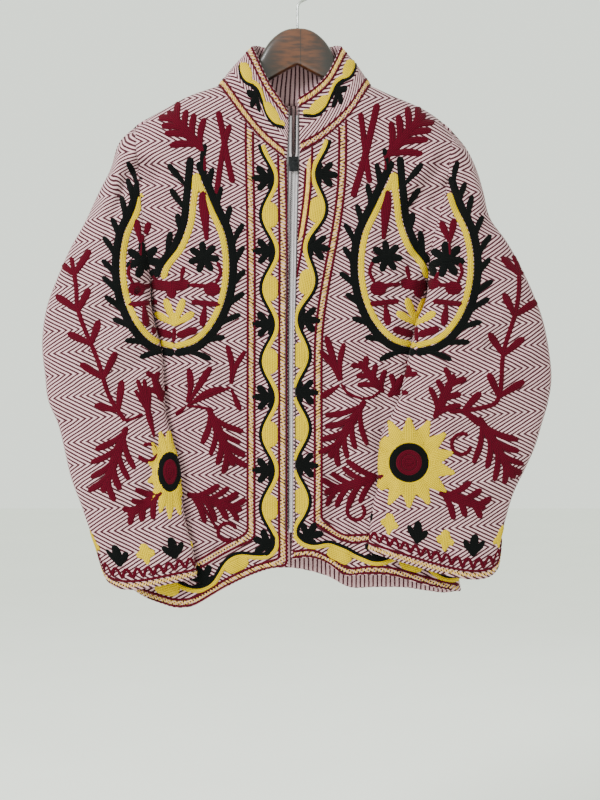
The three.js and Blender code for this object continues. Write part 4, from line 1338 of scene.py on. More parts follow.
@dataclass(frozen=True)
class Paisley:
    """A wide paisley with two tips, drawn from an ellipse and its own small flowers.

    Inside lengths are for the right one; the left one is its mirror.
    """

    x: float
    z: float
    half_width: float = 71.0
    half_height: float = 104.0
    mirror: int = 1
    edge_fingers: int = 11

    def at(self, x: float, z: float) -> tuple[float, float]:
        """A place inside it in the frame of the front view."""
        return self.x + self.mirror * x, self.z + z

    def outline(self, sign: int, tip: tuple[float, float], grow: float = 0.0) -> list[tuple[float, float]]:
        """One side from its tip to the bottom of the ellipse, moved out by a distance."""
        spots = [(tip[0] + sign * grow * 0.2, tip[1] + grow * 2.2)]
        for angle in (44, 22, 0, -22, -44, -66, -90):
            c, s = math.cos(math.radians(angle)), math.sin(math.radians(angle))
            spots.append((sign * (self.half_width + grow) * c, (self.half_height + grow) * s))
        return spots

    def strokes(self, random: np.random.Generator) -> list[Stroke]:
        """Yellow outline, black edge with its fingers, and the flowers inside."""
        made = []
        tips = {-1: (-29, 115), 1: (43, 95)}
        inner = [(-29, 113), (-25, 84), (-21, 54), (-9, 24), (9, 0), (15, -16)]
        for sign, tip in tips.items():
            made.append(self.line(self.outline(sign, tip), 8.6, Yarn.YELLOW))
            outside = SmoothLine(self.outline(sign, tip, 9.6))
            made.append(self.line(outside.points, 11.5, Yarn.BLACK))
            for k in range(self.edge_fingers):
                share = (k + 0.1) / self.edge_fingers
                near = outside([share, share + 0.02])
                back = near[0] - near[1]
                angle = math.degrees(math.atan2(back[1], back[0])) - sign * random.uniform(26, 36)
                spot = near[1] - back / max(float(np.hypot(*back)), TINY) * 6
                length = random.uniform(29, 37)
                made.append(self.petal(spot, toward(*spot, length, angle), 8.8, Yarn.BLACK, bend=sign * 2))
        made.append(self.line(inner, 9.0, Yarn.YELLOW))
        made.append(self.line([(-29, 121), (-28, 96)], 13, Yarn.YELLOW))
        along = [(x + 9.5, z + 2) for x, z in inner]
        along[0] = (-21, 142)
        made.append(self.line(along, 11.0, Yarn.BLACK))
        middle = SmoothLine(along)
        for share, length, angle in ((0.24, 40, 50), (0.42, 34, 56), (0.6, 26, 82), (0.82, 34, 100)):
            spot = middle([share])[0]
            made.append(self.petal(spot, toward(*spot, length, angle), 9.5, Yarn.BLACK))
        made += self.flowers()
        return made

    def line(self, points: Points, width: float, yarn: Yarn) -> Stroke:
        """A run through places inside the paisley."""
        return run([self.at(x, z) for x, z in points], width, yarn)

    def petal(self, base: Points, tip: Points, width: float, yarn: Yarn, bend: float = 0.0) -> Stroke:
        """A finger between places inside the paisley."""
        return finger(self.at(*base), self.at(*tip), width, yarn, bend * self.mirror)

    def fan(
        self, x: float, z: float, reach: float, aim: float, spread: float, count: int, width: float,
        yarn: Yarn,
    ) -> list[Stroke]:
        """Fingers from one place inside the paisley.

        Args:
            x: the place's x.
            z: the place's z.
            reach: length of a finger that points up or down.
            aim: direction of the middle of the fan in degrees.
            spread: angle between its outer fingers.
            count: number of fingers.
            width: their width.
            yarn: their colour.

        Returns:
            The fingers.
        """
        made = []
        for i in range(count):
            angle = aim + spread * (i / (count - 1) - 0.5)
            length = reach * (1 - 0.3 * abs(math.cos(math.radians(angle))))
            made.append(self.petal((x, z), toward(x, z, length, angle), width, yarn))
        return made

    def flowers(self) -> list[Stroke]:
        """The small flowers and leaves of the inside."""
        maroon = Yarn.MAROON
        made = [self.petal((-42, 34), (-37, 98), 15, maroon)]
        made += rosette(*self.at(-38, 12), 21, 10.5) + rosette(*self.at(40, 8), 24, 12)
        made += self.fan(44, 30, 34, 96, 34, 2, 10.5, maroon)
        for points, width in (([(44, 14), (43, 30)], 5), ([(-20, -22), (6, -26), (32, -22)], 15)):
            made.append(self.line(points, width, maroon))
        petals = (((5, -20), (3, -42), 15), ((-8, -22), (-12, 0), 7), ((22, -22), (30, -8), 6))
        for base, tip, width in petals:
            made.append(self.petal(base, tip, width, maroon))
        upper = (([(38, -29), (60, -30)], 20), ([(20, -24), (46, -26)], 6), ([(22, -46), (60, -50)], 8))
        lower = (([(3, -90), (30, -82)], 11), ([(56, 6), (60, -8), (54, -22)], 5))
        for sign in (-1, 1):
            made += [self.line([(sign * x, z) for x, z in points], width, maroon) for points, width in upper]
            made.append(self.petal((sign * 40, -50), (sign * 36, -78), 11, maroon))
            made += [self.line([(sign * x, z) for x, z in points], width, maroon) for points, width in lower]
        made += self.fan(0, -76, 40, 90, 116, 4, 11, Yarn.YELLOW)
        made.append(self.petal((0, -78), (0, -60), 16, Yarn.YELLOW))
        made.append(self.line([(0, -80), (1, -98)], 6, Yarn.MAROON))
        return made


def left_of(points: np.ndarray) -> np.ndarray:
    """Unit directions to the left of a line at each of its points."""
    step = np.gradient(points, axis=0)
    step /= np.maximum(np.linalg.norm(step, axis=1, keepdims=True), TINY)
    return np.stack([-step[:, 1], step[:, 0]], axis=1)


def beside(line: SmoothLine, away: Callable[[np.ndarray], np.ndarray], count: int) -> np.ndarray:
    """Points beside a line, at a distance that changes with the length along it.

    Args:
        line: the middle line.
        away: gives distances to its left from lengths along it.
        count: number of steps.

    Returns:
        The points.
    """
    shares = even(count)
    spots = line(shares)
    return spots + left_of(spots) * away(shares * line.total)[:, None]


@dataclass(frozen=True)
class Vine:
    """A waving stem in black and yellow with yellow half flowers and black sprigs in its bends."""

    path: Points
    pitch: float
    start: float
    swing: float = 8.5
    side: int = 1
    blob: float = 12.0
    sprig: float = 28.0

    def strokes(self, _: np.random.Generator) -> list[Stroke]:
        """The two stems, a half flower in each outward bend and a sprig in each inward one."""
        line = SmoothLine(self.path)
        turn = TURN / self.pitch

        def wave(at: np.ndarray) -> np.ndarray:
            """Distance of the stem from its path."""
            return self.side * self.swing * np.cos((at - self.start) * turn)

        count = int(line.total / 4)
        made = [run(beside(line, wave, count), 4.6, Yarn.BLACK)]
        made.append(run(beside(line, lambda at: wave(at) - self.side * 5.0, count), 6.2, Yarn.YELLOW))
        place = self.start % (self.pitch / 2)
        while place < line.total:
            near = line(np.clip([place - 2, place, place + 2], 0, line.total) / line.total)
            step = (near[2] - near[0]) / max(float(np.linalg.norm(near[2] - near[0])), TINY)
            out = np.array([-step[1], step[0]]) * self.side
            phase = math.cos((place - self.start) * turn)
            if phase > 0.5:
                heart = near[1] + out * (self.swing - self.blob * 1.08)
                ends = [heart - step * self.blob * 1.4, heart + step * self.blob * 1.4]
                made.append(run(ends, self.blob * 1.85, Yarn.YELLOW, 1.3))
            elif phase < -0.5:
                root = near[1] - out * (self.swing - 1)
                angle = math.degrees(math.atan2(out[1], out[0]))
                fan = Fan(*root, self.sprig, angle, 84, 3, self.sprig * 0.38, 0, Yarn.BLACK)
                made += fan.strokes(np.random.default_rng(5))
                made.append(finger(root, root + out * self.sprig * 0.6, self.sprig * 0.6, Yarn.BLACK))
                for lean in (-1, 1):
                    foot, tip = root + step * lean * 2, root + step * lean * 14 + out * 4
                    made.append(finger(foot, tip, self.sprig * 0.32, Yarn.BLACK))
            place += self.pitch / 2
        return made


@dataclass
class FrontView:
    """The front of cloth pieces, by x and z in the plane of the front view, frontmost piece first."""

    pieces: tuple[ClothPiece, ...]
    eye: Vector = field(default_factory=lambda: Vector(EYE))

    def spot(self, x: float, z: float, only: ClothPiece | None = None) -> tuple | None:
        """Where the cloth lies behind a point of the view.

        Args:
            x: across.
            z: up.
            only: the one piece to look for.

        Returns:
            The point in metres, its direction to the outside and its piece, or nothing.
        """
        way = (Vector((x * MM, -0.04, z * MM)) - self.eye).normalized()
        best = None
        for piece in self.pieces if only is None else (only,):
            hit, normal, _, distance = piece.tree.ray_cast(self.eye, way)
            if hit is not None and (best is None or distance < best[3]):
                best = (hit, -normal if normal.dot(way) > 0 else normal, piece, distance)
        return best


@dataclass
class Unrolled:
    """One piece laid flat: a goes along one of its edges and b goes away from that edge."""

    piece: ClothPiece
    from_start: bool = False
    columns: int = field(init=False)
    lengths: np.ndarray = field(init=False)
    depth: np.ndarray = field(init=False)

    def __post_init__(self) -> None:
        """Works out the lengths along the edge and away from it."""
        grid = self.piece.grid if self.from_start else self.piece.grid[:, ::-1]
        ways = self.piece.normals if self.from_start else self.piece.normals[:, ::-1]
        if self.piece.closed:
            grid, ways = np.concatenate([grid, grid[:1]]), np.concatenate([ways, ways[:1]])
        self.grid, self.ways, self.columns = grid, ways, len(grid)
        self.lengths, self.depth = run_lengths(grid[:, 0]), run_lengths(grid, axis=1)

    @property
    def total(self) -> float:
        """Length of the edge."""
        return float(self.lengths[-1])

    def spot(self, a: float, b: float, only: ClothPiece | None = None) -> tuple | None:
        """Where a place on the flat cloth lies, as the front view gives it."""
        if self.piece.closed:
            a %= self.total
        a = min(max(a, 0.0), self.total)
        i = min(self.columns - 2, int(np.searchsorted(self.lengths, a, side="right")) - 1)
        t = (a - self.lengths[i]) / max(self.lengths[i + 1] - self.lengths[i], TINY)
        reach = self.depth[i] * (1 - t) + self.depth[i + 1] * t
        b = min(max(b, 0.0), float(reach[-1]))
        j = min(len(reach) - 2, int(np.searchsorted(reach, b, side="right")) - 1)
        s = (b - reach[j]) / max(reach[j + 1] - reach[j], TINY)
        weights = [(i + p, j + q, (t if p else 1 - t) * (s if q else 1 - s)) for q in (0, 1) for p in (0, 1)]
        point = sum(self.grid[p, q] * w for p, q, w in weights)
        way = Vector(sum(self.ways[p, q] * w for p, q, w in weights).tolist())
        if way.length < 1e-6:
            way = Vector((0, -1, 0))
        return Vector((point * MM).tolist()), way.normalized(), self.piece, 0.0


@dataclass
class WoolMesh:
    """The wool on one piece while it is put together."""

    points: list[np.ndarray] = field(default_factory=list)
    faces: list[tuple[int, ...]] = field(default_factory=list)
    slots: list[int] = field(default_factory=list)
    stitch: list[np.ndarray] = field(default_factory=list)
    count: int = 0

    def strip(self, rings: np.ndarray, stitch: np.ndarray, slot: int) -> None:
        """Adds one closed strip with its faces outwards.

        Args:
            rings: the strip's stations, each a ring of points.
            stitch: the flat place of each point.
            slot: its colour's material slot.
        """
        stations, ring = rings.shape[:2]
        index = self.count + np.arange(stations * ring).reshape(stations, ring)
        after = np.roll(index, -1, axis=1)
        quads = np.stack([index[:-1], after[:-1], after[1:], index[1:]], axis=-1).reshape(-1, 4)
        flat = rings.reshape(-1, 3)
        corner = [flat[quads[:, k] - self.count] - flat.mean(axis=0) for k in range(4)]
        volume = np.einsum("ij,ij->i", corner[0], np.cross(corner[1], corner[2])).sum()
        volume += np.einsum("ij,ij->i", corner[0], np.cross(corner[2], corner[3])).sum()
        flip = -1 if volume < 0 else 1
        self.faces += [tuple(q[::flip]) for q in quads.tolist()]
        self.faces += [tuple(index[0][::-flip].tolist()), tuple(index[-1][::flip].tolist())]
        self.points.append(flat)
        self.stitch.append(stitch.reshape(-1, 2))
        self.slots += [slot] * (len(quads) + 2)
        self.count += len(flat)

    def build(self, name: str, wools: dict[Yarn, bpy.types.Material]) -> bpy.types.Object:
        """Makes the object."""
        mesh = new_mesh(name, np.vstack(self.points), self.faces, list(wools.values()), self.slots)
        corner = np.empty(len(mesh.loops), dtype=np.int32)
        mesh.loops.foreach_get("vertex_index", corner)
        mesh.uv_layers.new(name="stitch").data.foreach_set("uv", np.vstack(self.stitch)[corner].ravel())
        return new_object(name, mesh)


@dataclass
class Embroidery:
    """Lays runs of wool on the cloth, one mesh for each cloth piece."""

    wools: dict[Yarn, bpy.types.Material]
    meshes: dict[str, WoolMesh] = field(default_factory=dict)
    laid: int = 0
    across: tuple[float, ...] = (-1.0, -0.8, -0.42, 0.0, 0.42, 0.8, 1.0)
    dome: tuple[float, ...] = (-0.5, 0.55, 0.92, 1.0, 0.92, 0.55, -0.5)

    def lay(self, surface: FrontView | Unrolled, strokes: Sequence[Stroke]) -> None:
        """Lays strokes on a surface; a stroke is cut where it passes from one piece to another."""
        for stroke in strokes:
            self.laid += 1
            line, half = rounded_ends(stroke.line, stroke.half)
            square, at = left_of(line), run_lengths(line)
            tall = stroke.height + 0.03 * (self.laid % 7)
            piece = None
            rings: list[list[Vector]] = []
            marks: list[list[tuple[float, float]]] = []
            for n in range(len(line)):
                found = surface.spot(float(line[n][0]), float(line[n][1]))
                now = found[2] if found else None
                if now is not piece:
                    if piece is not None:
                        self.station(surface, piece, line[n], square[n], half[n], at[n], tall, rings, marks)
                        self.close(piece, rings, marks, stroke.yarn)
                    rings, marks, piece = [], [], now
                if piece is not None:
                    self.station(surface, piece, line[n], square[n], half[n], at[n], tall, rings, marks)
            if piece is not None:
                self.close(piece, rings, marks, stroke.yarn)

    def station(
        self, surface: FrontView | Unrolled, piece: ClothPiece, middle: np.ndarray, square: np.ndarray,
        half: float, at: float, tall: float, rings: list, marks: list,
    ) -> None:
        """Adds the ring of points at one place of a stroke, if the cloth is there."""
        ring, mark = [], []
        for q, up in zip(self.across, self.dome):
            found = None
            for pull in (1.0, 0.75, 0.5, 0.25, 0.0):
                x, z = middle + square * half * q * pull
                found = surface.spot(float(x), float(z), piece)
                if found:
                    break
            if not found:
                return
            rise = up * tall if up > 0 else up
            ring.append(found[0] + found[1] * (rise * MM))
            mark.append((at * MM, q * half * MM))
        rings.append(ring)
        marks.append(mark)

    def close(self, piece: ClothPiece, rings: list, marks: list, yarn: Yarn) -> None:
        """Ends a strip and gives it to its piece's mesh."""
        if len(rings) < 2:
            return
        mesh = self.meshes.setdefault(piece.name, WoolMesh())
        mesh.strip(np.asarray(rings, float), np.asarray(marks, float), list(self.wools).index(yarn))

    def build(self) -> dict[str, bpy.types.Object]:
        """Makes all the wool objects, by the name of their cloth piece."""
        return {name: mesh.build("wool_on_" + name, self.wools) for name, mesh in self.meshes.items()}


# Motifs of each half, in the frame of the front view; the paisley and the flowers stand apart below.
MOTIFS: dict[str, list[Fan | Leaf | Curl | Spray | Stem]] = {
    "left": [
        Leaf(-122, -246, 72, 132, 4, 11.5, 48), Stem([(-123, -240), (-122, -254), (-121, -272)], 6),
        Stem([(-103, -194), (-98, -218), (-92, -252), (-84, -288)], 9),
        Stem([(-88, -212), (-95, -236), (-101, -270), (-105, -302)], 8.5),
        Fan(-144, -577, 58, 56, 56, 3, 10), Fan(-144, -577, 20, 222, 0, 1, 8),
        Stem([(-144, -577), (-118, -566), (-87, -553)]), Fan(-87, -553, 62, 82, 30, 2, 8.5),
        Fan(-87, -553, 32, 291, 0, 1, 8.5), Stem([(-144, -577), (-126, -579), (-109, -583)]),
        Leaf(-116, -580, 86, -66, 4, 10.5, 42), Leaf(-144, -692, 78, -16, 4, 10.5, 48),
        Curl(-92, -742, 13, 20), Stem([(-126, -702), (-114, -722), (-104, -738)]),
        Spray([(-294, -384), (-288, -421), (-285, -454), (-259, -520), (-245, -564), (-224, -597)], 10),
        Stem([(-224, -597), (-214, -594), (-201, -588)]), Fan(-186, -618, 76, 104, 22, 4, 8),
        Leaf(-222, -604, 96, 250, 4, 11, 44), Curl(-194, -637, 13, 200), Leaf(-176, -690, 56, 214, 3, 11, 48),
        Leaf(-176, -572, 40, 108, 2, 9, 46),
    ],
    "right": [
        Leaf(113, -256, 82, 48, 4, 11.5, 46), Stem([(116, -248), (117, -262), (116, -276)], 9),
        Stem([(82, -196), (86, -228), (90, -262), (94, -288)], 8.5),
        Stem([(104, -184), (97, -214), (88, -252), (72, -306)], 10),
        Fan(57, -549, 62, 106, 34, 3, 9.5), Fan(57, -549, 34, 216, 0, 1, 10),
        Stem([(57, -549), (66, -561), (84, -568)]), Leaf(112, -560, 54, 128, 3, 9.5, 50),
        Stem([(84, -568), (97, -566), (108, -558)]), Leaf(118, -566, 50, 52, 2, 9.5, 50),
        Leaf(88, -570, 92, 238, 4, 10.5, 42), Leaf(112, -668, 84, 196, 4, 10.5, 48), Curl(77, -714, 13, 120),
        Spray([
            (281, -382), (288, -403), (285, -449), (268, -507), (260, -570), (233, -581), (197, -585),
        ], 10),
        Leaf(178, -594, 66, 66, 3, 10.5, 50), Leaf(236, -592, 96, -60, 4, 11, 42), Curl(214, -628, 15, 60),
        Leaf(184, -690, 66, -18, 3, 11.5, 52),
    ],
}
PAISLEYS = {"left": Paisley(-160, -396, 67, mirror=-1), "right": Paisley(154, -395)}
SUNFLOWERS = {"left": Sunflower(-166, -663, 59, squeeze=0.5), "right": Sunflower(145, -651, 59)}

# Distances of the stitched bands from the centre edge, at the neck and below the chest, then from the hem.
BANDS = {
    "left": {"edge": (1.5, 1.5, 1.5), "near": (11, 11, 10), "inner": (43.5, 43, 45), "outer": (53, 52, 56)},
    "right": {"edge": (8, -16, 1.5), "near": (16, -8, 10), "inner": (51, 27, 43), "outer": (60, 36, 52)},
}
# Width and length of the rectangle that each piece is cut from, with its seams, in metres.
FLAT_SIZES = {
    "front_left": (0.24, 0.685), "front_right": (0.24, 0.675), "back": (0.47, 0.68),
    "sleeve_left": (0.49, 0.59), "sleeve_right": (0.49, 0.58), "collar": (0.36, 0.09),
}
VINES = {"left": (27, 27, 28), "right": (31, 13, 27)}


def edge_path(side: str, away: Sequence[float]) -> list[tuple[float, float]]:
    """Line beside the centre edge and the hem of one front.

    Args:
        side: which front.
        away: distance from the centre edge at the neck and below the chest, and from the hem.

    Returns:
        Points from the neck down and round the lower corner to the side.
    """
    edges = HalfEdges.of(side)
    sign = -1 if side == "left" else 1
    centre, neck, hem = (line(even(60)) for line in (edges.centre, edges.neck, edges.hem))

    def across(z: float) -> float:
        """The line's x at a height."""
        ease = float(smooth_step(np.array((-270 - z) / 230)))
        return float(look_up(centre, 1, 0, np.array(z))) + sign * (away[0] + (away[1] - away[0]) * ease)

    def up(x: float) -> float:
        """The line's height over the hem."""
        return float(look_up(hem, 0, 1, np.array(x))) + away[2]

    top_x = across(-240)
    top = min(float(look_up(neck, 0, 1, np.array(top_x))), -200) - 2 if abs(top_x) > 15 else -268
    corner = across(-740)
    foot = up(corner)
    spots = [(across(z), z) for z in np.linspace(top, foot + 7, 14)]
    spots.append((corner + sign * 1.5, foot + 2))
    end = CORNER[side]["hem_side"][0]
    spots += [(x, up(x)) for x in np.linspace(corner + sign * 8, end - sign * 2, 10)]
    return [(float(x), float(z)) for x, z in spots]


@dataclass
class Stitches:
    """Single straight stitches, set as copies of one small bead by geometry nodes."""

    spots: list[Vector] = field(default_factory=list)
    turns: list[Quaternion] = field(default_factory=list)
    sizes: list[tuple[float, float, float]] = field(default_factory=list)

    def put(self, middle: Vector, way: Vector, normal: Vector, size: tuple[float, float, float]) -> None:
        """Adds one stitch.

        Args:
            middle: its place, in metres.
            way: its direction.
            normal: the direction to the outside.
            size: its length, width and height in millimetres.
        """
        along = (way - normal * way.dot(normal)).normalized()
        side = normal.cross(along)
        turn = Matrix((along, side, normal)).transposed().to_quaternion()
        self.spots.append(middle)
        self.turns.append(turn)
        self.sizes.append(tuple(v * MM for v in size))

    def between(
        self, surface: FrontView | Unrolled, first: Points, second: Points, pitch: float, slant: float
    ) -> None:
        """Fills the space between two lines with slanted stitches.

        Args:
            surface: where the lines lie.
            first: one line.
            second: the other one.
            pitch: distance from stitch to stitch.
            slant: how far a stitch's two ends are apart along the lines.
        """
        a, b = SmoothLine(first), SmoothLine(second)
        count = max(2, int(a.total / pitch))
        shares = (np.arange(count) + 0.5) / count
        starts, ends = a(shares), b(np.clip(shares + slant / a.total, 0, 1))
        for p, q in zip(starts, ends):
            low, high = p + (q - p) * 0.14, p + (q - p) * 0.86
            s, e = surface.spot(*map(float, low)), surface.spot(*map(float, high))
            m = surface.spot(*map(float, (low + high) / 2))
            if not (s and e and m) or s[2] is not e[2] or (e[0] - s[0]).length > 0.03:
                continue
            reach = (e[0] - s[0]).length / MM
            self.put(m[0] + m[1] * 0.0003, e[0] - s[0], m[1], (reach, STITCH_WIDTH, STITCH_HEIGHT))

    def build(self, name: str, material: bpy.types.Material) -> bpy.types.Object:
        """Makes the plain mesh of all the stitches."""
        mesh = bpy.data.meshes.new(name + "_points")
        mesh.from_pydata([tuple(s) for s in self.spots], [], [])
        turn = mesh.attributes.new("turn", "QUATERNION", "POINT")
        turn.data.foreach_set("value", [v for q in self.turns for v in (q.w, q.x, q.y, q.z)])
        size = mesh.attributes.new("size", "FLOAT_VECTOR", "POINT")
        size.data.foreach_set("vector", [v for s in self.sizes for v in s])
        holder = new_object(name + "_points", mesh)
        group = bead_group()
        modifier = holder.modifiers.new("beads", "NODES")
        modifier.node_group = group
        names = {item.name: item.identifier for item in group.interface.items_tree if item.in_out == "INPUT"}
        modifier[names["Material"]] = material
        graph = bpy.context.evaluated_depsgraph_get()
        made = bpy.data.meshes.new_from_object(holder.evaluated_get(graph))
        made.name = name
        bpy.data.objects.remove(holder)
        made.polygons.foreach_set("use_smooth", [True] * len(made.polygons))
        return new_object(name, made)


def bead_group() -> bpy.types.NodeTree:
    """Geometry nodes that put a small bead on each point, turned and sized by the point."""
    if "beads_on_points" in bpy.data.node_groups:
        return bpy.data.node_groups["beads_on_points"]
    group = bpy.data.node_groups.new("beads_on_points", "GeometryNodeTree")
    group.interface.new_socket(name="Geometry", in_out="INPUT", socket_type="NodeSocketGeometry")
    group.interface.new_socket(name="Material", in_out="INPUT", socket_type="NodeSocketMaterial")
    group.interface.new_socket(name="Geometry", in_out="OUTPUT", socket_type="NodeSocketGeometry")
    tree = NodeTree(group)
    start = group.nodes.new("NodeGroupInput")
    end = group.nodes.new("NodeGroupOutput")
    bead = tree.add("GeometryNodeMeshUVSphere", {"Segments": 6, "Rings": 4, "Radius": 0.5})
    turn = tree.add("GeometryNodeInputNamedAttribute", {"Name": "turn"}, data_type="QUATERNION")
    size = tree.add("GeometryNodeInputNamedAttribute", {"Name": "size"}, data_type="FLOAT_VECTOR")
    copies = tree.add("GeometryNodeInstanceOnPoints", {
        "Points": start.outputs["Geometry"], "Instance": bead.outputs["Mesh"],
        "Rotation": turn.outputs["Attribute"], "Scale": size.outputs["Attribute"],
    })
    real = tree.add("GeometryNodeRealizeInstances", {"Geometry": copies.outputs["Instances"]})
    given = {"Geometry": real.outputs["Geometry"], "Material": start.outputs["Material"]}
    painted = tree.add("GeometryNodeSetMaterial", given)
    tree.link(painted.outputs["Geometry"], end.inputs["Geometry"])
    return group


@dataclass(frozen=True)
class Finish:
    """A plain material with a little wear: two colours, roughness, metal share and grain."""

    name: str
    colour: str
    other: str
    rough: float = 0.5
    metal: float = 0.0
    scale: float = 120.0
    bump: float = 0.0001

    def material(self) -> bpy.types.Material:
        """The material."""
        tree = Surface(self.name)
        noise = tree.noise(tree.place, self.scale, 5.0, 0.4)
        colour = tree.mix(tree.ramp(noise, 0.35, 0.68), rgb(self.colour), rgb(self.other))
        return tree.finish(colour, {"Roughness": self.rough, "Metallic": self.metal}, noise, 0.5, self.bump)


class StageLights:
    """The camera, the lamps, the pale floor and the air of the scene."""

    @staticmethod
    def build() -> None:
        """Makes the camera first, then the light and the floor."""
        scene = bpy.context.scene
        camera = bpy.data.cameras.new("camera")
        camera.sensor_fit = "VERTICAL"
        camera.sensor_height = 36
        camera.lens = camera.sensor_height * EYE_TO_FRONT / VIEW_HEIGHT
        camera.clip_start = 0.1
        holder = bpy.data.objects.new("camera", camera)
        holder.location = EYE
        holder.rotation_euler = (math.pi / 2, 0, 0)
        scene.collection.objects.link(holder)
        scene.camera = holder
        world = scene.world or bpy.data.worlds.new("air")
        scene.world = world
        world.use_nodes = True
        air = world.node_tree.nodes["Background"]
        air.inputs["Color"].default_value = rgb("dfe7db")
        air.inputs["Strength"].default_value = 1.9
        for name, spot, aim, size, power in (
            ("window", (-1.6, -1.7, 0.8), (0, 0, -0.5), 0.8, 100.0),
            ("fill", (1.9, -1.7, -0.2), (0, 0, -0.5), 1.8, 6.0),
            ("behind", (0.6, 2.1, 0.9), (0, 0, -0.4), 1.6, 16.0),
        ):
            lamp = bpy.data.lights.new(name, "AREA")
            lamp.size = size
            lamp.energy = power
            holder = bpy.data.objects.new(name, lamp)
            holder.location = spot
            holder.rotation_euler = (Vector(aim) - Vector(spot)).to_track_quat("-Z", "Y").to_euler()
            scene.collection.objects.link(holder)
        tree = Surface("floor")
        colour = tree.mix(tree.noise(tree.place, 3.0, 3.0), rgb("f2f3ef"), rgb("f8f9f5"))
        pale = tree.finish(colour, {"Roughness": 0.9})
        size, height = 9.0, -1.3
        corners = [(-size, -size, height), (size, -size, height), (size, size, height), (-size, size, height)]
        floor = new_object("floor", new_mesh("floor", corners, [(0, 1, 2, 3)], [pale], smooth=False))


@dataclass
class Jacket:
    """The sewn jacket: its cloth pieces and the wool on them."""

    patterns: Patterns = field(default_factory=Patterns)
    pieces: dict[str, ClothPiece] = field(default_factory=dict)
    sewn: dict[str, bpy.types.Object] = field(default_factory=dict)

    def cut(self) -> None:
        """Works out the grids of all the pieces and their shared directions at the seams."""
        p = self.patterns
        fronts, back = {side.value: p.front(side.value) for side in Side}, p.back()
        made = [
            ClothPiece("front_" + side, grid, (0, -1, 0), free_edges=("bottom", "first"))
            for side, grid in fronts.items()
        ]
        made.append(ClothPiece("back", back, (0, 1, 0), free_edges=("bottom",)))
        for side, arm, out in (("left", back[0], -1), ("right", back[-1], 1)):
            grid = p.sleeve_grid(side, fronts[side][-1], arm)
            made.append(ClothPiece("sleeve_" + side, grid, (out, 0, 0), (0, 0.5), True, ("bottom",)))
        grid = p.collar(fronts["left"], back, fronts["right"])
        edges = ("bottom", "first", "last")
        made.append(ClothPiece("collar", grid, (-1, -1, 0), (0.12, 0.5), free_edges=edges))
        for piece in made:
            piece.settle_normals()
        self.pieces = {piece.name: piece for piece in made}
        self.share_normals()

    def share_normals(self) -> None:
        """Gives pieces that meet at a seam one common direction at each shared point."""
        keep = {
            name: self.under_arm(piece) if name.startswith("sleeve") else np.zeros(piece.grid.shape[:2], bool)
            for name, piece in self.pieces.items()
        }
        spots = np.vstack([piece.grid.reshape(-1, 3) for piece in self.pieces.values()])
        ways = np.vstack([
            np.where(keep[name][..., None], 0, piece.normals).reshape(-1, 3)
            for name, piece in self.pieces.items()
        ])
        _, inverse = np.unique(np.round(spots, 2), axis=0, return_inverse=True)
        inverse = inverse.reshape(-1)
        total = np.zeros((inverse.max() + 1, 3))
        np.add.at(total, inverse, ways)
        common = total[inverse]
        size = np.linalg.norm(common, axis=1, keepdims=True)
        common = np.where(size > 1e-6, common / np.maximum(size, TINY), ways)
        start = 0
        for name, piece in self.pieces.items():
            count = piece.grid.shape[0] * piece.grid.shape[1]
            shared = common[start: start + count].reshape(piece.grid.shape)
            piece.normals = np.where(keep[name][..., None], piece.normals, shared)
            start += count

    def under_arm(self, piece: ClothPiece) -> np.ndarray:
        """Where a sleeve's first ring folds over the front and keeps its own direction."""
        mask = np.zeros(piece.grid.shape[:2], bool)
        mask[self.patterns.armhole // 2: self.patterns.armhole + 1, 0] = True
        return mask

    def sew(self, cloth: bpy.types.Material, reverse: bpy.types.Material) -> None:
        """Builds the shells and lets them stand for the solids."""
        for name, piece in self.pieces.items():
            made = piece.build(cloth, reverse)
            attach(made, "jacket")
            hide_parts(name)
            log.info("%s: %d faces", made.name, len(made.data.polygons))

    def embroider(self, wools: dict[Yarn, bpy.types.Material], cream: bpy.types.Material) -> None:
        """Lays all the wool: motifs, vines, stitched bands, cuffs and collar."""
        random = np.random.default_rng(12)
        wool = Embroidery(wools)
        rows = Stitches()
        for side in (s.value for s in Side):
            both = FrontView((self.pieces["front_" + side], self.pieces["sleeve_" + side]))
            front = FrontView((self.pieces["front_" + side],))
            arm = FrontView((self.pieces["sleeve_" + side],))
            sign = -1 if side == "left" else 1
            wool.lay(both, PAISLEYS[side].strokes(random))
            for motif in MOTIFS[side]:
                wool.lay(both, motif.strokes(random))
            wool.lay(arm, SUNFLOWERS[side].strokes(random))
            lines = {name: edge_path(side, away) for name, away in BANDS[side].items()}
            wool.lay(front, [maroon_line(line) for line in lines.values()])
            rows.between(front, lines["edge"], lines["near"], BAND_PITCH, BAND_SLANT)
            rows.between(front, lines["inner"], lines["outer"], BAND_PITCH, BAND_SLANT)
            path = SmoothLine(edge_path(side, VINES[side]))(even(40))
            wool.lay(front, Vine(path, 95, 92, side=sign).strokes(random))
            self.cuff(wool, rows, "sleeve_" + side)
        self.collar_band(wool, rows)
        hem = Unrolled(self.pieces["back"])
        band = [[(a, b) for a in np.linspace(2, hem.total - 2, 40)] for b in (1.6, 10)]
        wool.lay(hem, [maroon_line(line) for line in band])
        rows.between(hem, band[0], band[1], BAND_PITCH, BAND_SLANT)
        self.sewn = wool.build()
        for made in self.sewn.values():
            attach(made, "jacket")
            log.info("%s: %d faces", made.name, len(made.data.polygons))
        made = rows.build("cream_stitches", cream)
        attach(made, "jacket")
        self.sewn["stitches"] = made
        log.info("%s: %d faces", made.name, len(made.data.polygons))

    def cuff(self, wool: Embroidery, rows: Stitches, name: str) -> None:
        """The band round one cuff: chain edge, two maroon lines and buds."""
        flat = Unrolled(self.pieces[name])
        around = flat.total

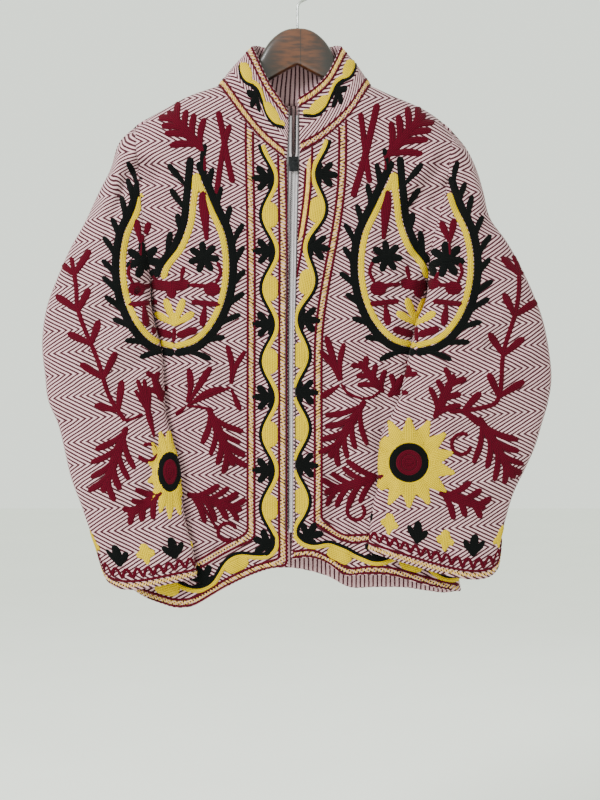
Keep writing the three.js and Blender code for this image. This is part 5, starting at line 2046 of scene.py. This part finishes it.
        def level(
            b: float, swing: float = 0.0, pitch: float = 13.0, count: int = 90
        ) -> list[tuple[float, float]]:
            """A line round the cuff at a height, straight or scalloped."""
            places = np.linspace(0, around, count)
            return [(float(a), b + swing * abs(math.sin(math.pi * a / pitch))) for a in places]

        waves = max(8, round(around / 14))
        wool.lay(flat, [maroon_line(level(10.5))])
        wool.lay(flat, [run(level(13, 13, around / waves, waves * 6), 4.6, Yarn.MAROON, 1.0)])
        rows.between(flat, level(1), level(9.5), 3.8, 5)
        count = max(6, 2 * round(around / 78))
        for k in range(count):
            a = around * (k + 0.5) / count
            if k % 2:
                wool.lay(flat, [
                    finger((a, 29), (a, 58), 13, Yarn.BLACK, fat=0.6, root=0.8),
                    finger((a - 2, 32), (a - 13, 49), 9, Yarn.BLACK, fat=0.6),
                    finger((a + 2, 32), (a + 13, 49), 9, Yarn.BLACK, fat=0.6),
                ])
            else:
                wool.lay(flat, [
                    finger((a, 29), (a, 57), 16, Yarn.YELLOW, fat=0.5, root=0.3),
                    run([(a - 12, 43), (a + 12, 43)], 11, Yarn.YELLOW),
                ])

    def collar_band(self, wool: Embroidery, rows: Stitches) -> None:
        """The collar's two edge bands and the vine on both of its fronts."""
        piece = self.pieces["collar"]
        top, foot = Unrolled(piece), Unrolled(piece, True)
        for flat in (top, foot):
            ends = np.linspace(1.5, flat.total - 1.5, 60)
            band = [[(float(a), b) for a in ends] for b in (1.6, 11)]
            wool.lay(flat, [maroon_line(line) for line in band])
            rows.between(flat, band[0], band[1], 3.9, 6)
        for start, end in ((6, 104), (top.total - 6, top.total - 104)):
            path = [(float(a), 30.0) for a in np.linspace(start, end, 8)]
            side = 1 if start < end else -1
            wool.lay(top, Vine(path, 60, 22, 6.5, side, 10, 24).strokes(np.random.default_rng(2)))

    def measure(self) -> None:
        for name, (width, length) in FLAT_SIZES.items():
            area = self.pieces[name].area()
            log.info("%s: %.4f square metres of %.4f", name, area, width * length)
            [self.sewn[name]] if name in self.sewn else []


@dataclass
class Hanger:
    """The wooden hanger; its wire hook stays the imported part and gets its material in main."""

    around: int = 32
    power: float = 0.72

    def wood(self, material: bpy.types.Material) -> bpy.types.Object:
        """The wooden arms, through rounded sections."""
        table = np.asarray(HANGER_SECTIONS, float)
        half = SmoothLine(table)(even(60))
        half[0, 0] = 0
        both = np.vstack([half[::-1] * [-1, 1, 1, 1], half[1:]])
        points, faces = [], []
        turns = np.arange(self.around) * TURN / self.around
        for x, top, bottom, thick in both:
            c, s = np.cos(turns), np.sin(turns)
            y = np.sign(c) * np.abs(c) ** self.power * thick
            z = (top + bottom) / 2 + np.sign(s) * np.abs(s) ** self.power * (top - bottom) / 2
            points += [(x * MM, p * MM, q * MM) for p, q in zip(y, z)]
        for n in range(len(both) - 1):
            for k in range(self.around):
                m = (k + 1) % self.around
                a, b = n * self.around, (n + 1) * self.around
                faces.append((a + k, a + m, b + m, b + k))
        last = (len(both) - 1) * self.around
        faces.append(tuple(range(self.around - 1, -1, -1)))
        faces.append(tuple(last + k for k in range(self.around)))
        mesh = new_mesh("hanger_arms", points, faces, [material])
        turn_outwards(mesh)
        made = new_object("hanger_arms", mesh)
        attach(made, "jacket")
        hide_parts("hanger_wood")
        return made


def hanger_wood() -> bpy.types.Material:
    """Dark lacquered wood, brown in the middle and nearly black at the arms, with a glue line."""
    tree = Surface("lacquered_wood")
    across = tree.add("ShaderNodeSeparateXYZ", {0: tree.place}).outputs[0]
    spread = tree.add("ShaderNodeMapping", {"Vector": tree.place, "Scale": (0.35, 1.0, 1.6)})
    grain = tree.noise(spread.outputs[0], 160.0, 6.0)
    streaks = tree.ramp(grain, 0.35, 0.7)
    brown = tree.mix(streaks, rgb("50290f"), rgb("2c1408"))
    black = tree.mix(streaks, rgb("1d0f0a"), rgb("120a08"))
    colour = tree.mix(tree.ramp(tree.math("ABSOLUTE", across), 0.012, 0.042), brown, black)
    seam = tree.math("ABSOLUTE", tree.math("SUBTRACT", across, 0.004))
    line = tree.math("SUBTRACT", 1.0, tree.ramp(seam, 0.0003, 0.0009))
    colour = tree.mix(tree.math("MULTIPLY", line, 0.7), colour, rgb("140a06"))
    return tree.finish(colour, {"Roughness": 0.34, "Coat Weight": 0.35, "Coat Roughness": 0.08}, grain, 0.3)


def rounded_block(low: Sequence[float], high: Sequence[float], bevel: float) -> Body:
    """Points and faces of a block with rounded edges.

    Args:
        low: its lowest corner, in millimetres.
        high: its highest corner.
        bevel: radius of the edges.

    Returns:
        The points in metres and the faces.
    """
    block = bmesh.new()
    bmesh.ops.create_cube(block, size=1.0)
    for vertex in block.verts:
        for k in range(3):
            vertex.co[k] = (low[k] if vertex.co[k] < 0 else high[k]) * MM
    bmesh.ops.bevel(
        block, geom=block.edges[:], offset=bevel * MM, segments=3, profile=0.5, affect="EDGES",
        clamp_overlap=True,
    )
    block.verts.index_update()
    points = [v.co.copy() for v in block.verts]
    faces = [tuple(v.index for v in f.verts) for f in block.faces]
    block.free()
    return points, faces


def circle(x: float, y: float, z: float, radius: float, sides: int) -> list[Vector]:
    """Points of a circle square to x, in metres."""
    turns = [TURN * k / sides for k in range(sides)]
    return [Vector((x, y + radius * math.cos(a), z + radius * math.sin(a))) * MM for a in turns]


def tube(start: Vector, end: Vector, radius: float, sides: int = 16) -> Body:
    """Points and faces of a short round bar along x."""
    points = [spot for x in (start.x, end.x) for spot in circle(x, start.y, start.z, radius, sides)]
    faces = []
    for k in range(sides):
        m = (k + 1) % sides
        faces.append((k, m, sides + m, sides + k))
    faces += [tuple(range(sides - 1, -1, -1)), tuple(range(sides, 2 * sides))]
    return points, faces


def joined(name: str, parts: Sequence[Body], material: bpy.types.Material) -> bpy.types.Object:
    """One object of several closed bodies.

    Args:
        name: the object's name.
        parts: points and faces of each body.
        material: its finish.

    Returns:
        The object.
    """
    points: list[Vector] = []
    faces: list[tuple[int, ...]] = []
    for spots, sides in parts:
        base = len(points)
        points += spots
        faces += [tuple(i + base for i in side) for side in sides]
    mesh = new_mesh(name, points, faces, [material], smooth=False)
    turn_outwards(mesh)
    return new_object(name, mesh)


@dataclass
class Zip:
    """The hard parts of the zip: its slider and the pull tab; zip_teeth makes the coil."""

    x: float = -5.31
    front: float = -36.0
    top: float = -252.5

    def slider(self, material: bpy.types.Material) -> None:
        """The slider's two plates, its bridge and the posts that hold the pin."""
        x, y, top = self.x, self.front, self.top
        parts = [
            rounded_block((x - 6.3, y - 1.1, top - 12), (x + 6.3, y + 0.25, top), 0.5),
            rounded_block((x - 4.6, y + 4.5, top - 12), (x + 4.6, y + 5.5, top), 0.4),
            rounded_block((x - 0.9, y - 0.5, top - 3), (x + 0.9, y + 5, top), 0.2),
            rounded_block((x - 3.4, y - 4.2, top - 5.6), (x - 2.2, y - 0.6, top - 2.4), 0.3),
            rounded_block((x + 2.2, y - 4.2, top - 5.6), (x + 3.4, y - 0.6, top - 2.4), 0.3),
            tube(Vector((x - 2.8, y - 3, top - 4)), Vector((x + 2.8, y - 3, top - 4)), 0.6),
        ]
        made = joined("slider_with_posts", parts, material)
        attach(made, "jacket")
        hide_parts("zip_slider")

    def tab(self, material: bpy.types.Material) -> None:
        """The pull tab, which hangs from the pin by an eye."""
        x, y, z = self.x, self.front - 3, self.top - 4
        ring, points, faces = 24, [], []
        for across in (-1.6, 1.6):
            for radius in (1.0, 1.7):
                points += circle(x + across, y, z, radius, ring)
        a, b, c, d = 0, ring, 2 * ring, 3 * ring
        for k in range(ring):
            m = (k + 1) % ring
            faces += [
                (b + k, b + m, d + m, d + k), (c + k, c + m, a + m, a + k),
                (a + k, a + m, b + m, b + k), (d + k, d + m, c + m, c + k),
            ]
        parts = [
            (points, faces),
            rounded_block((x - 1.6, y - 0.6, z - 4), (x + 1.6, y + 0.6, z - 1.3), 0.3),
            rounded_block((x - 5.6, y - 0.7, z - 15.5), (x + 5.6, y + 0.7, z - 3.2), 0.45),
            rounded_block((x - 3.9, y - 0.9, z - 13.6), (x + 3.9, y + 0.9, z - 5), 0.3),
        ]
        made = joined("pull_tab", parts, material)
        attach(made, "zip_pull")
        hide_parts("zip_pull_tab")


def zip_teeth(material: bpy.types.Material) -> bpy.types.Object:
    """The coil of the zip, closed below the slider and a little open above it, with dark lines of painted
    shadow along the outer edges of the tapes, where they meet the cloth.
    """
    rows = Stitches()
    line = SmoothLine(ZIP_CENTRE)
    count = int(line.total / 1.3)
    out = Vector((0, -1, 0))
    for k, (x, z) in enumerate(line((np.arange(count) + 0.5) / count)):
        apart = 1.5 * float(smooth_step(np.array((z + 256) / 30)))
        side = 1 if k % 2 else -1
        across = x - 2.2 + side * 0.35 if apart < 0.05 else x + side * (0.7 + apart)
        rows.put(Vector((across, COIL_DEPTH, z)) * MM, Vector((1, 0, 0.12 * side)), out, (2.6, 1.2, 1.3))
        # Painted shadow: every third step, a long dark bead at each outer edge of the tape, joining into a
        # dark line where the tape meets the cloth.
        if k % 3 == 0:
            for edge in (-6.3, 6.3):
                rows.put(Vector((x + edge, COIL_DEPTH, z)) * MM, Vector((0, 0, 1)), out, (7.0, 1.5, 0.8))
    made = rows.build("zip_coil", material)
    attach(made, "jacket")
    return made


def paint(node: str, material: bpy.types.Material) -> None:
    """Gives a carried-over solid a better material."""
    for slot in bpy.data.objects[node].material_slots:
        slot.material = material


def main() -> None:
    """Builds the looks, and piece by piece."""
    logging.basicConfig(level=logging.INFO, format="%(message)s")
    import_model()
    StageLights.build()
    cloth = Weave("herringbone_cloth").material()
    stripes = Weave("striped_reverse", dark="380a1a", slope=0.0, tip=0.0058, share=0.36, wander=0.0008)
    reverse = stripes.material()
    # Each wool's second colour is the dark colour of its painted shade between the loops.
    wools = {w.yarn: w.material() for w in (
        Wool(Yarn.YELLOW, "cdae00", "544000"), Wool(Yarn.BLACK, "040606", "010101"),
        Wool(Yarn.MAROON, "4c0014", "180005"),
    )}
    cream = Finish("cream_wool", "e4bc58", "ac822c", 0.9, scale=500, bump=0.0003).material()
    jacket = Jacket()
    jacket.cut()
    jacket.sew(cloth, reverse)
    jacket.embroider(wools, cream)
    jacket.measure()
    Hanger().wood(hanger_wood())
    paint("hanger_hook", Finish("hook_steel", "b8bab8", "8c8f90", 0.22, 1.0, 60).material())
    tape = Finish("zip_tape", "c6bec4", "aaa2a8", 0.9, scale=900, bump=0.0003).material()
    paint("zip_tape_left", tape)
    paint("zip_tape_right", tape)
    metal = Finish("zip_metal", "1c1d20", "2c2d30", 0.3, 0.85, 200).material()
    Zip().slider(metal)
    Zip().tab(metal)
    # The coil's dark thread also colours the painted shadow lines at the tapes' edges.
    zip_teeth(Finish("coil_thread", "161517", "0c0b0d", 0.5, scale=300).material())


if __name__ == "__main__":
    main()
